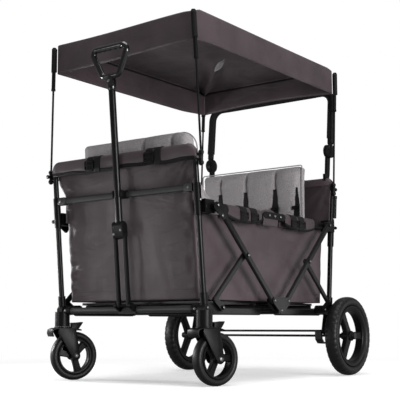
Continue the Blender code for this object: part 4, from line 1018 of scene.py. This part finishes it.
for end in (FRONT, REAR):
    end_wall(end)
    cuff(end)
    body = f"{END_NAME[end]}_frame"
    buckles = []
    for number, (centre, half) in enumerate(CUFF_STRAPS):
        for part, (low, high) in enumerate(((-1.0, -0.12), (0.12, 1.0))):
            band = cloth(f"{END_NAME[end]}_cuff_strap_{number}{part}", sheet_grid(
                8, 40, lambda u, v: over_tube(end, centre + half * (low + u * (high - low)), v, 0.0024,
                                              0.690, 0.6665 - 0.004 * part, 0.0016),
                (half, 0.09)), webbing, body, 0.0014)
            crumple_up(band, end)
        buckles += ladder_lock(centre - half * 0.55, post_y(end, 0.686) + end * 0.0192, 0.686)
    add_piece(f"{END_NAME[end]}_cuff_buckles", gather(buckles), moulding, body)

# Tub side walls and the sleeves on the top rails.
# The same cloth between the end walls, with slanting tension folds and a stitched hem. Each half
# rail wears a padded sleeve with a bowed, bound lower edge and two webbing loops.
RAIL_X, RAIL_TOP = 0.2903, 0.5448
SLEEVES = {FRONT: ((-0.275, -0.078), (-0.188, -0.128)), REAR: ((0.066, 0.262), (0.118, 0.167))}
SLEEVE_HALF, SLEEVE_LOW, SLEEVE_BOW = 0.0138, 0.4955, 0.0135
LOOP_HALF, LOOP_OUT, LOOP_THICK, BAR_HALF = 0.0190, 0.0180, 0.0030, 0.0018
LOOP_BARS, LOOP_FRAME = (0.5265, 0.5155, 0.5045), (0.5030, 0.5280)       # heights
TONGUE_FIRST, TONGUE_WIDTH, TONGUE_RISE = -0.067, 0.088, 0.0115


def side_wall(side):
    def place(u, v):
        rough_y = -0.36 + 0.72 * u
        top = 0.514 + 0.018 * exp(-(rough_y / 0.075) ** 2)
        z = TUB_BOTTOM + v * (top - TUB_BOTTOM)
        front = post_y(FRONT, z) + WALL_INSET + TUB_CORNER
        rear = post_y(REAR, z) - WALL_INSET - TUB_CORNER
        y = front + u * (rear - front)
        inner = smooth(min(u, 1 - u) / 0.10) * smooth((z - 0.256) / 0.03) * smooth((top - z) / 0.05)
        rising, falling = (y + z) * 0.7071, (z - y) * 0.7071
        fold = ripple(rising * 4.0, falling * 15.0, 2.0 + side) + ripple(falling * 4.0, rising * 17.0, 7.0)
        out = inner * (0.0042 * fold - 0.0015) + 0.0010 * ripple(y * 9, z * 9, 4.0)
        out += 0.0030 * exp(-((z - 0.272) / 0.012) ** 2) * ripple(y * 7, 0.0, 8.0)
        return (side * (WALL_HALF + out), y, z)

    wall = cloth(f"side_wall_cloth_{SIDE_NAME[side]}", sheet_grid(150, 70, place, (0.73, 0.265)),
                 taupe_hemmed, "front_frame")
    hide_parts(f"side_wall_{SIDE_NAME[side]}")
    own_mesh(wall)


def sleeve_shape(share):
    """Bow, half thickness and lower edge of a sleeve at a share of its length."""
    bow = (2 * abs(share - 0.5)) ** 2.6
    return bow, SLEEVE_HALF - 0.0016 * bow, SLEEVE_LOW + SLEEVE_BOW * bow


def sleeve_point(side, y, share, v, grow=0.0, low_in=0.503):
    """A point on the sleeve's section at a share of its length, grow thicker than the sleeve."""
    bow, half, low = sleeve_shape(share)
    half += grow
    top = RAIL_TOP - half
    away, z = folded_over(v, half, top, top - low_in, top - low, 0.0030 * (1 - bow), grow)
    return (side * (RAIL_X + away), y, z)


def rail_sleeve(end, side):
    (first, last), loops = SLEEVES[end]
    body, tag = f"top_rails_{END_NAME[end]}", f"{END_NAME[end]}_{SIDE_NAME[side]}"

    def place(u, v):
        x, y, z = sleeve_point(side, CENTRE_Y + first + u * (last - first), u, v)
        crease = 0.0011 * ripple(u * 9, v * 4, 3.0 + end)
        return (x + side * max(0.0, crease) * (1 if v > 0.5 else -1), y, z)

    def binding(u, v):
        _, half, low = sleeve_shape(u)
        away, z = bound_edge(v, half, low, 0.0060, 0.0020)
        return (side * (RAIL_X + away), CENTRE_Y + first + u * (last - first), z)

    made = cloth(f"rail_sleeve_{tag}", sheet_grid(60, 36, place, (0.20, 0.12)), taupe_sleeve, body)
    tape = cloth(f"rail_sleeve_edge_{tag}", sheet_grid(50, 12, binding, (0.20, 0.018)), binding_tape,
                 body)
    buckles = []
    out = between(side * (RAIL_X + LOOP_OUT), side * (RAIL_X + LOOP_OUT + LOOP_THICK))
    for number, centre in enumerate(loops):
        def strap(u, v):
            y = centre - LOOP_HALF + 2 * LOOP_HALF * u
            return sleeve_point(side, CENTRE_Y + y, (y - first) / (last - first), v, 0.0022, 0.500)

        cloth(f"rail_strap_{tag}_{number}", sheet_grid(10, 30, strap, (0.038, 0.12)), webbing,
              body, 0.0013)
        middle = CENTRE_Y + centre
        buckles += [block(out, (middle - 0.0205, middle + 0.0205), (z - BAR_HALF, z + BAR_HALF))
                    for z in LOOP_BARS]
        buckles += [block(out, (y - BAR_HALF, y + BAR_HALF), LOOP_FRAME)
                    for y in (middle - 0.0200, middle + 0.0200)]
    add_piece(f"rail_buckles_{tag}", gather(buckles), moulding, body)


def centre_tongue(side):
    """The cloth flap over the rail behind the centre bracket."""
    def place(u, v):
        rise = TONGUE_RISE * (1 - (2 * abs(u - 0.5)) ** 3)
        x, y, z = sleeve_point(side, CENTRE_Y + TONGUE_FIRST + TONGUE_WIDTH * u, 0.5, v, -0.0055)
        return (x, y, z + rise * smooth((z - 0.51) / 0.03))

    made = cloth(f"centre_tongue_{SIDE_NAME[side]}", sheet_grid(24, 24, place, (0.088, 0.10)), taupe_sleeve,
                 "top_rails_front")


for side in (LEFT, RIGHT):
    side_wall(side)
    centre_tongue(side)
    for end in (FRONT, REAR):
        rail_sleeve(end, side)

# Tub bottom and lining.
# The bottom is the same cloth under the two boards, and turns with them. A pale padded lining
# rises from the rails to the front hoop's corners.
BOTTOM_HALF, BOTTOM_FIRST, BOTTOM_LENGTH, BOTTOM_Z = 0.2535, 0.0425, 0.2805, 0.2434
HEATHER, LINING_GREY = (0.262, 0.246, 0.254), (0.23, 0.215, 0.22)
WING_X, WING_FIRST, WING_LENGTH = 0.2705, -0.385, 0.150
WING_LOW, WING_END, WING_RISE, WING_ROLL = 0.514, 0.528, 0.082, 0.0040
for end in (FRONT, REAR):
    bottom = cloth(f"{END_NAME[end]}_bottom_cloth", sheet_grid(
        40, 24, lambda u, v: (BOTTOM_HALF * (2 * u - 1), CENTRE_Y + end * (BOTTOM_FIRST + BOTTOM_LENGTH * v),
                              BOTTOM_Z + 0.0004 * ripple(u * 9, v * 6, 1.0)), (0.507, 0.28)),
        taupe, f"floor_{END_NAME[end]}")


def heather_cloth(name, colour, spread_by):
    """Melange cloth: pale and dark fibres mixed, with a soft nap."""
    made, shader = finish_named(name, colour, 0.88, 0.0, 0.25)
    shader.inputs["Sheen Weight"].default_value = 0.25
    shader.inputs["Sheen Roughness"].default_value = 0.5
    fibres = grain(made, 420.0, 0.35, 0.0010, 5.0)
    vary(made, fibres, tuple(c * (1 - spread_by) for c in colour), tuple(c * (1 + spread_by) for c in colour),
         "Base Color")
    return made


heather = heather_cloth("heather grey padding", HEATHER, 0.34)
lining = heather_cloth("pale grey lining", LINING_GREY, 0.22)


def lining_wing(side):
    def place(u, v):
        high = WING_END + WING_RISE * (1 - u) ** 2.0
        roll = WING_ROLL * smooth((v - 0.88) / 0.12)
        return (side * (WING_X + roll + 0.0012 * ripple(u * 6, v * 5, 6.0)),
                CENTRE_Y + WING_FIRST + WING_LENGTH * u, WING_LOW + (high - WING_LOW) * v)

    made = cloth(f"lining_wing_{SIDE_NAME[side]}", sheet_grid(40, 24, place, (0.19, 0.12)), lining,
                 "front_frame", 0.0050)


for side in (LEFT, RIGHT):
    lining_wing(side)

# Seats.
# Heather grey quilted pads, back and bench in one, which stand against the tub's ends. Cloth
# simulation swells them, then the sewn channels are pressed in. A piping cord closes the front
# edge of each back, and harness webbing lies on the seams.
SEAT_HALF, SEAT_FACE, SEAT_PLATE, SEAT_BEND = 0.2225, 0.348, 0.030, 0.040
SEAT_LOW, BENCH_REACH = 0.4185, 0.1700
SEAT_TOP = {FRONT: 0.7755, REAR: 0.7525}
SEAMS = {FRONT: (-0.098, 0.036, 0.152), REAR: (-0.134, -0.017, 0.113)}
SEAT_CORNERS = {FRONT: {LEFT: 0.006, RIGHT: 0.060}, REAR: {LEFT: 0.010, RIGHT: 0.006}}   # of the back
SEAT_LEFT = 1.045      # how much wider the front pad is to the left
SEAT_COLUMNS, SEAT_ROWS = 36, 46
VOXEL, PRESSURE, SWELL_FRAMES, SWELL_LIMIT = 0.006, 4.0, 20, 0.007
SEAM_PRESS, CHANNEL_SWELL = 0.0100, 0.0080
PIPING_RADIUS, PIPING_LOW = 0.0021, 0.475
HARNESS_TOP, HARNESS_LENGTH, HARNESS_OFF = 0.672, 0.227, 0.0075
ADJUSTER_Z = (0.590, 0.604)


def lifted(made):
    """The piece gets a mesh of its own."""
    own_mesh(made)


def seat_line(end, share):
    """Outer point (y, z) and inward normal at a share of the way along the bench and up the back."""
    bench, arc = SEAT_FACE - BENCH_REACH - SEAT_BEND, SEAT_BEND * pi / 2
    along = share * (bench + arc + SEAT_TOP[end] - SEAT_LOW - SEAT_BEND)
    if along < bench:
        return (BENCH_REACH + along, SEAT_LOW), (0.0, 1.0)
    if along < bench + arc:
        angle = (along - bench) / SEAT_BEND
        return ((SEAT_FACE - SEAT_BEND + SEAT_BEND * sin(angle),
                 SEAT_LOW + SEAT_BEND - SEAT_BEND * cos(angle)), (-sin(angle), cos(angle)))
    return (SEAT_FACE, SEAT_LOW + SEAT_BEND + along - bench - arc), (-1.0, 0.0)


def seat_shell(end):
    """The pad before it swells: an L-shaped plate with rounded corners."""
    bm = bmesh.new()
    bmesh.ops.create_grid(bm, x_segments=SEAT_COLUMNS, y_segments=SEAT_ROWS, size=0.5)
    inside = set(bmesh.ops.extrude_face_region(bm, geom=bm.faces[:])["geom"])
    for vert in bm.verts:
        column, row = grid_place(vert, SEAT_COLUMNS, SEAT_ROWS)
        x, share = (2 * column / SEAT_COLUMNS - 1) * SEAT_HALF, row / SEAT_ROWS
        (y, z), (inward_y, inward_z) = seat_line(end, share)
        depth = SEAT_PLATE if vert in inside else 0.0
        wider = SEAT_LEFT if end == FRONT and x < 0 else 1.0
        drop = 0.0
        for sign, radius in SEAT_CORNERS[end].items() if share > 0.6 else ():
            past = max(0.0, sign * x - (SEAT_HALF - radius))
            drop = max(drop, radius - max(0.0, radius ** 2 - past ** 2) ** 0.5)
        vert.co = (x * wider, CENTRE_Y + end * (y + inward_y * depth),
                   z - drop * smooth((share - 0.6) / 0.4) + inward_z * depth)
    bmesh.ops.recalc_face_normals(bm, faces=bm.faces[:])
    return bm


def swollen(bm, name, top):
    mesh = bpy.data.meshes.new(name)
    bm.to_mesh(mesh)
    bm.free()
    pad = bpy.data.objects.new(name, mesh)
    bpy.context.scene.collection.objects.link(pad)
    even = pad.modifiers.new("even mesh", "REMESH")
    even.mode, even.voxel_size = "VOXEL", VOXEL
    graph = bpy.context.evaluated_depsgraph_get()
    start = bpy.data.meshes.new_from_object(pad.evaluated_get(graph))
    pad.modifiers.clear()
    pad.data = start
    result = bmesh.new()
    result.from_mesh(start)
    puff = pad.modifiers.new("puff", "CLOTH")
    puff.settings.use_pressure = True
    puff.settings.uniform_pressure_force = PRESSURE
    puff.settings.effector_weights.gravity = 0.0
    puff.settings.quality = 4
    puff.point_cache.frame_start, puff.point_cache.frame_end = 1, SWELL_FRAMES
    for number in range(1, SWELL_FRAMES + 1):
        bpy.context.scene.frame_set(number)
    graph = bpy.context.evaluated_depsgraph_get()
    final = bpy.data.meshes.new_from_object(pad.evaluated_get(graph))
    for vert, moved in zip(result.verts, final.vertices):
        shift = moved.co - vert.co
        limit = SWELL_LIMIT * (0.35 + 0.65 * smooth((top - vert.co.z) / 0.030))
        if shift.length > limit:
            shift *= limit / shift.length
        vert.co += shift
    bpy.context.scene.frame_set(1)
    bpy.data.objects.remove(pad)
    return result


def channel_press(end, co, edges):
    """How deep the sewing presses a pad in at a point; below zero between the seams, where it swells."""
    x, along = co.x, co.z + co.y
    near = min(abs(x - seam) for seam in SEAMS[end])
    low = max(edge for edge in edges if edge <= x or edge == edges[0])
    high = min(edge for edge in edges if edge > x or edge == edges[-1])
    middle = 1 - (2 * (x - low) / (high - low) - 1) ** 2
    pressed = SEAM_PRESS * exp(-(near / 0.0060) ** 2) - CHANNEL_SWELL * max(0.0, middle)
    pressed += 0.0016 * ripple(x * 22, along * 16, 11.0 + end)
    pressed -= 0.0016 * exp(-(near / 0.02) ** 2) * sin(along / 0.0065)
    from_rim = max(0.0, min(SEAT_TOP[end] - co.z, SEAT_HALF - abs(x)))
    return pressed * (0.05 + 0.95 * smooth(from_rim / 0.028))


def seat(end):
    bm = swollen(seat_shell(end), f"{END_NAME[end]}_seat_shape", SEAT_TOP[end])
    bm.normal_update()
    edges = (-SEAT_HALF * SEAT_LEFT - 0.006, *SEAMS[end], SEAT_HALF + 0.006)
    shifts = [vert.normal * -channel_press(end, vert.co, edges) for vert in bm.verts]
    for vert, shift in zip(bm.verts, shifts):
        vert.co += shift
    made = add_piece(f"{END_NAME[end]}_seat_pad", bm, heather, f"{END_NAME[end]}_frame", 179)
    finer = made.modifiers.new("smooth", "SUBSURF")
    finer.levels = finer.render_levels = 1
    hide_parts(f"{END_NAME[end]}_seat")
    lifted(made)


def piping(end):
    """The cord sewn into the edge between a pad's face and its sides."""
    half, top = SEAT_HALF + 0.0010, SEAT_TOP[end] + 0.0010
    outline = [(-half, PIPING_LOW)]
    for sign in (LEFT, RIGHT):
        bend = SEAT_CORNERS[end][sign]
        for step in range(13):
            angle = pi / 2 * (1 - step / 12 if sign < 0 else step / 12)
            outline.append((sign * (half - bend + bend * sin(angle)), top - bend + bend * cos(angle)))
    outline.append((half, PIPING_LOW))
    y = CENTRE_Y + end * (SEAT_FACE - SEAT_PLATE + 0.0010)
    path = [Vector((x * SEAT_LEFT if end == FRONT and x < 0 else x, y, z)) for x, z in outline]
    cord = add_piece(f"{END_NAME[end]}_seat_piping",
                     sweep(path, lambda index, angle: (PIPING_RADIUS, PIPING_RADIUS), sides=10),
                     heather, f"{END_NAME[end]}_frame", 60)
    lifted(cord)


def harness(end):
    """Webbing on the seams with an adjuster on each strap."""
    face = SEAT_FACE - SEAT_PLATE - HARNESS_OFF
    adjusters = []
    for number, x in enumerate((*SEAMS[end], end * 0.203)):
        def place(u, v):
            lift = 0.0010 + 0.004 * smooth((v - 0.15) / 0.3)
            wide = 0.0065 + 0.0075 * smooth(v / 0.35)
            return (x + wide * (2 * u - 1) + 0.006 * v, CENTRE_Y + end * (face - lift),
                    HARNESS_TOP - HARNESS_LENGTH * v)

        strap = cloth(f"{END_NAME[end]}_harness_{number}", sheet_grid(6, 40, place, (0.023, 0.24)), webbing,
                      f"{END_NAME[end]}_frame", 0.0014)
        lifted(strap)
        y = CENTRE_Y + end * (face - 0.0075)
        adjusters.append(block((x - 0.0150, x + 0.0170), (y - 0.002, y + 0.002), ADJUSTER_Z, 0.0015))
    add_piece(f"{END_NAME[end]}_adjusters", gather(adjusters), moulding, f"{END_NAME[end]}_frame")


for end in (FRONT, REAR):
    seat(end)
    piping(end)
    harness(end)

# Canopy.
# One sheet of the tub's cloth: a crowned roof whose edge turns down into a valance all round, with
# a slack fold at the left rear corner. Its corners are held by the four poles' sleeves, and a pale
# leaf-shaped piece under the roof is a painted highlight on the fold.
CANOPY_HALF, CANOPY_FRONT, CANOPY_REAR = 0.2962, -0.4142, 0.4305
CANOPY_EDGE, CANOPY_DROP, CANOPY_RISE, CANOPY_CORNER = 1.1120, 0.0885, 0.0105, 0.005
HALF_Y, MIDDLE_Y = (CANOPY_REAR - CANOPY_FRONT) / 2, CENTRE_Y + (CANOPY_REAR + CANOPY_FRONT) / 2
ROOF_TURN, ROOF_LIFT = 0.0045, 0.0125
EDGE_STEPS, CORNER_STEPS, DROP_STEPS, ROOF_STEPS = {0: 40, 1: 56}, 5, 10, 22
PULL_WIDTH, PULL_LENGTH = 0.592, 0.84        # the cloth over which the front right corner is pulled
FOLD_DEPTH, FOLD_BESIDE = 0.015, 0.006       # the slack fold, and how far it stands up on both sides
SLEEVE_FOOT, SLEEVE_HEIGHT, SLEEVE_RADIUS = 1.0265, 0.0805, 0.0083
POLE_HEAD_IN, POLE_HEAD_Y, POLE_REACH = 0.0080, {FRONT: -0.4215, REAR: 0.4375}, 0.461
LEAF_TOP, LEAF_FALL = Vector((0.062, 0.040, 1.1180)), Vector((-0.0292, -0.0216, -0.0430))
LEAF_ACROSS, LEAF_CUP = Vector((0.61, 0.45, -0.65)) * 0.0095, Vector((-0.6, 0.8, 0.1)) * 0.0025
# The second colour below is the pale grey of a painted highlight on the canopy's slack fold.
VALANCE_TAUPE, LEAF_HIGHLIGHT_GREY = (0.0545, 0.0405, 0.0455), (0.34, 0.33, 0.33)
canopy_taupe = woven("taupe polyester with a valance hem", VALANCE_TAUPE, cloud=0.20,
                     seams=(0.5 - CANOPY_DROP + 0.0105,), creases=0.011, coat=0.05)
# Pale grey cloth for the painted highlight on the slack fold.
leaf_highlight_cloth = heather_cloth("pale grey painted highlight", LEAF_HIGHLIGHT_GREY, 0.12)


def canopy_outline():
    """Points of the roof's rounded rectangle about its middle, counter-clockwise."""
    points = []
    corners = [Vector((sx * (CANOPY_HALF - CANOPY_CORNER), sy * (HALF_Y - CANOPY_CORNER)))
               for sx, sy in ((1, 1), (-1, 1), (-1, -1), (1, -1))]
    for corner, centre in enumerate(corners):
        for step in range(CORNER_STEPS + 1):
            angle = pi / 2 * (corner + step / CORNER_STEPS)
            points.append(centre + Vector((cos(angle), sin(angle))) * CANOPY_CORNER)
        start, stop = points[-1], corners[(corner + 1) % 4] + points[-1] - centre
        count = EDGE_STEPS[corner % 2]
        points += [start.lerp(stop, step / count) for step in range(1, count)]
    return points


def pulled(x, y, z):
    """The place of a canopy point once the front right pole's top is pulled off its line."""
    share = smooth(0.5 + x / PULL_WIDTH) * smooth(0.5 - (y - CENTRE_Y) / PULL_LENGTH)
    return Vector((x, y, z)) + POLE_PULL * share ** 1.5


def edge_lift(u, w):
    """How far the roof's edge bows up over the corners that the poles hold; the front right corner
    is held lowest. U and w run from -1 to 1 across and along the canopy."""
    held = 0.25 * (1 - u) * (1 - w) * 0.009 + 0.25 * 2 * (1 + w) * 0.008
    free = 0.006 - 0.003 * u if w < -0.97 else ROOF_LIFT
    return held + (free - held) * smooth(max((1 - abs(u)) * CANOPY_HALF, (1 - abs(w)) * HALF_Y) / 0.035)


def hem_lift(u, w):
    """How far the valance's hem lies off its plane."""
    if w > 0.97:
        return 0.0060 + 0.0110 * (1 - u * u)
    if u > 0.97:
        return 0.0070 * smooth((w + 1) * HALF_Y / 0.10)
    return -0.0030 + 0.0085 * smooth((w - 0.6) / 0.4)


def valance_point(x, y, height, reached):
    """A point on the valance at a height below the edge; reached is the length round the hem."""
    u, w, share = x / CANOPY_HALF, y / HALF_Y, -height / CANOPY_DROP
    wave = 0.0016 * ripple(reached * 6, height * 9, 2.0) * share * smooth((1 - min(abs(u), abs(w))) / 0.1)
    return pulled(x + wave * (1 if x > 0 else -1) * (abs(u) > 0.97),
                  MIDDLE_Y + y + wave * (1 if y > 0 else -1) * (abs(w) > 0.97),
                  CANOPY_EDGE + height + hem_lift(u, w) * share + edge_lift(u, w) * (1 - share))


def roof_point(x, y, scale, height, inset):
    """A point on the roof inside its outline: scale shrinks it, inset is the turned edge's."""
    near_edge = smooth((scale - 0.6) / 0.4)
    z = CANOPY_EDGE + height + edge_lift(x / CANOPY_HALF, y / HALF_Y) * near_edge
    z += 0.5 * ROOF_LIFT * (1 - near_edge)
    a, b = (x * scale * (1 - inset / CANOPY_HALF)) / CANOPY_HALF, (y * scale * (1 - inset / HALF_Y)) / HALF_Y
    if scale < 1.0:
        z += CANOPY_RISE * (1 - abs(a) ** 3) * (1 - abs(b) ** 3)
        off_line = 0.78 * (a + 1) - (1 - b)
        slack = smooth((1.0 - max(-a, b)) / 0.05) * smooth((1.10 - (1 + a)) / 0.35)
        z -= FOLD_DEPTH * exp(-(off_line / 0.045) ** 2) * slack
        z += FOLD_BESIDE * slack * sum(exp(-((off_line + k) / 0.06) ** 2) for k in (-0.13, 0.13))
        z += 0.0012 * ripple(a * CANOPY_HALF * 6, b * HALF_Y * 5, 5.0) * smooth((1 - scale) / 0.1)
    return pulled(a * CANOPY_HALF, MIDDLE_Y + b * HALF_Y, z)


def inner_seam(outline):
    """The taped seam inside, where the roof meets the valance."""
    count = len(outline)

    def place(u, v):
        (x, y), step = outline[round(u * count) % count], round(v * 3)
        inset = 0.0016 + 0.0004 * (step % 2)
        return pulled(x * (1 - inset / CANOPY_HALF), MIDDLE_Y + y * (1 - inset / HALF_Y),
                      CANOPY_EDGE - 0.0045 - 0.0022 * step + edge_lift(x / CANOPY_HALF, y / HALF_Y))

    bm = sheet_grid(count, 3, place, (count * 0.012, 3 * 0.0022))
    bmesh.ops.remove_doubles(bm, verts=bm.verts[:], dist=1e-6)
    return cloth("canopy_inner_seam", bm, binding_tape, "front_frame", 0.0009)


def highlight_leaf():
    """A pale leaf-shaped piece under the roof, hanging a little: a painted highlight on the slack fold."""
    def place(u, v):
        wide = max(0.04, sin(pi * v) ** 0.8)
        cup = sin(pi * v) * (1 - (2 * u - 1) ** 2)
        return LEAF_TOP + LEAF_FALL * v + LEAF_ACROSS * wide * (2 * u - 1) + LEAF_CUP * cup

    return cloth("canopy_leaf_tab", sheet_grid(8, 18, place, (0.019, 0.056)), leaf_highlight_cloth,
                 "front_frame", 0.0012)


def corner_sleeve(end, side):
    """The canopy corner's pocket round its pole."""
    edge_y = CANOPY_FRONT - 0.0006 if end == FRONT else CANOPY_REAR + 0.0006

    def place(u, v):
        z = SLEEVE_FOOT + SLEEVE_HEIGHT * v
        share = (z - POLE_FOOT_Z) / POLE_REACH
        pole = Vector((side * (POLE_X - POLE_HEAD_IN * share), post_y(end, POLE_STAND) * (1 - share)
                       + (CENTRE_Y + POLE_HEAD_Y[end]) * share, z))
        corner = Vector((side * (CANOPY_HALF + 0.0006), CENTRE_Y + edge_y, z))
        if (end, side) == (FRONT, RIGHT):
            pole += pole_pull(z)
            corner = pulled(*corner)
        out = (pole - corner).xy.normalized()
        angle = pi * 0.60 * (2 * min(1.0, max(0.0, (u - 0.2) / 0.6)) - 1)
        round_pole = pole + Vector((out.x * cos(angle) - out.y * sin(angle),
                                    out.x * sin(angle) + out.y * cos(angle), 0)) * SLEEVE_RADIUS
        return corner.lerp(round_pole, smooth(min(u, 1 - u) / 0.2))

    return cloth(f"canopy_corner_{END_NAME[end]}_{SIDE_NAME[side]}", sheet_grid(40, 10, place, (0.06, 0.08)),
                 binding_tape, f"{END_NAME[end]}_frame", 0.0008)


def wrapped(rings, flats):
    """Cloth over closed rings of points, each point with its flat place."""
    count, last = len(rings[0]), len(rings) - 1
    bm = bmesh.new()
    bmesh.ops.create_grid(bm, x_segments=count, y_segments=last, size=0.5)
    layer = bm.loops.layers.uv.new("flat")
    for face in bm.faces:
        for loop in face.loops:
            column, row = grid_place(loop.vert, count, last)
            loop[layer].uv = flats[row][column % count]
    for vert in bm.verts:
        column, row = grid_place(vert, count, last)
        vert.co = rings[row][column % count]
    bmesh.ops.remove_doubles(bm, verts=bm.verts[:], dist=1e-6)
    return bm


def canopy():
    outline = canopy_outline()
    lengths = [0.0]
    for a, b in zip(outline, outline[1:]):
        lengths.append(lengths[-1] + (b - a).length)
    heights = [-CANOPY_DROP * (1 - step / DROP_STEPS) for step in range(DROP_STEPS)] + [-ROOF_TURN]
    rings = [[valance_point(x, y, height, reached) for (x, y), reached in zip(outline, lengths)]
             for height in heights]
    flats = [[(reached, 0.5 + height) for reached in lengths] for height in heights]
    levels = [(1.0, ROOF_TURN * (sin(angle) - 1), ROOF_TURN * (1 - cos(angle)))
              for angle in (pi / 8 * step for step in range(1, 5))]
    levels += [(1.0 - step / ROOF_STEPS, 0.0, ROOF_TURN) for step in range(1, ROOF_STEPS)]
    for scale, height, inset in levels:
        rings.append([roof_point(x, y, scale, height, inset) for x, y in outline])
        flats.append([(x * scale * (1 - inset / CANOPY_HALF), y * scale * (1 - inset / HALF_Y))
                      for x, y in outline])
    bm = wrapped(rings, flats)
    middle = [edge for edge in bm.edges if edge.is_boundary and edge.verts[0].co.z > CANOPY_EDGE]
    crown = bmesh.ops.poke(bm, faces=bmesh.ops.edgeloop_fill(bm, edges=middle)["faces"])["verts"][0]
    crown.co = pulled(0.0, MIDDLE_Y, CANOPY_EDGE + CANOPY_RISE + 0.5 * ROOF_LIFT)
    layer = bm.loops.layers.uv["flat"]
    for face in crown.link_faces:
        for loop in face.loops:
            loop[layer].uv = (loop.vert.co.x, loop.vert.co.y - MIDDLE_Y)
    made = cloth("canopy_cloth", bm, canopy_taupe, "front_frame", 0.0014)
    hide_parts("canopy_cover")
    others = [inner_seam(outline), highlight_leaf()]
    (others + [corner_sleeve(end, side) for end in (FRONT, REAR)
                                   for side in (LEFT, RIGHT)])
    for piece in [made, *others]:
        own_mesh(piece)


canopy()
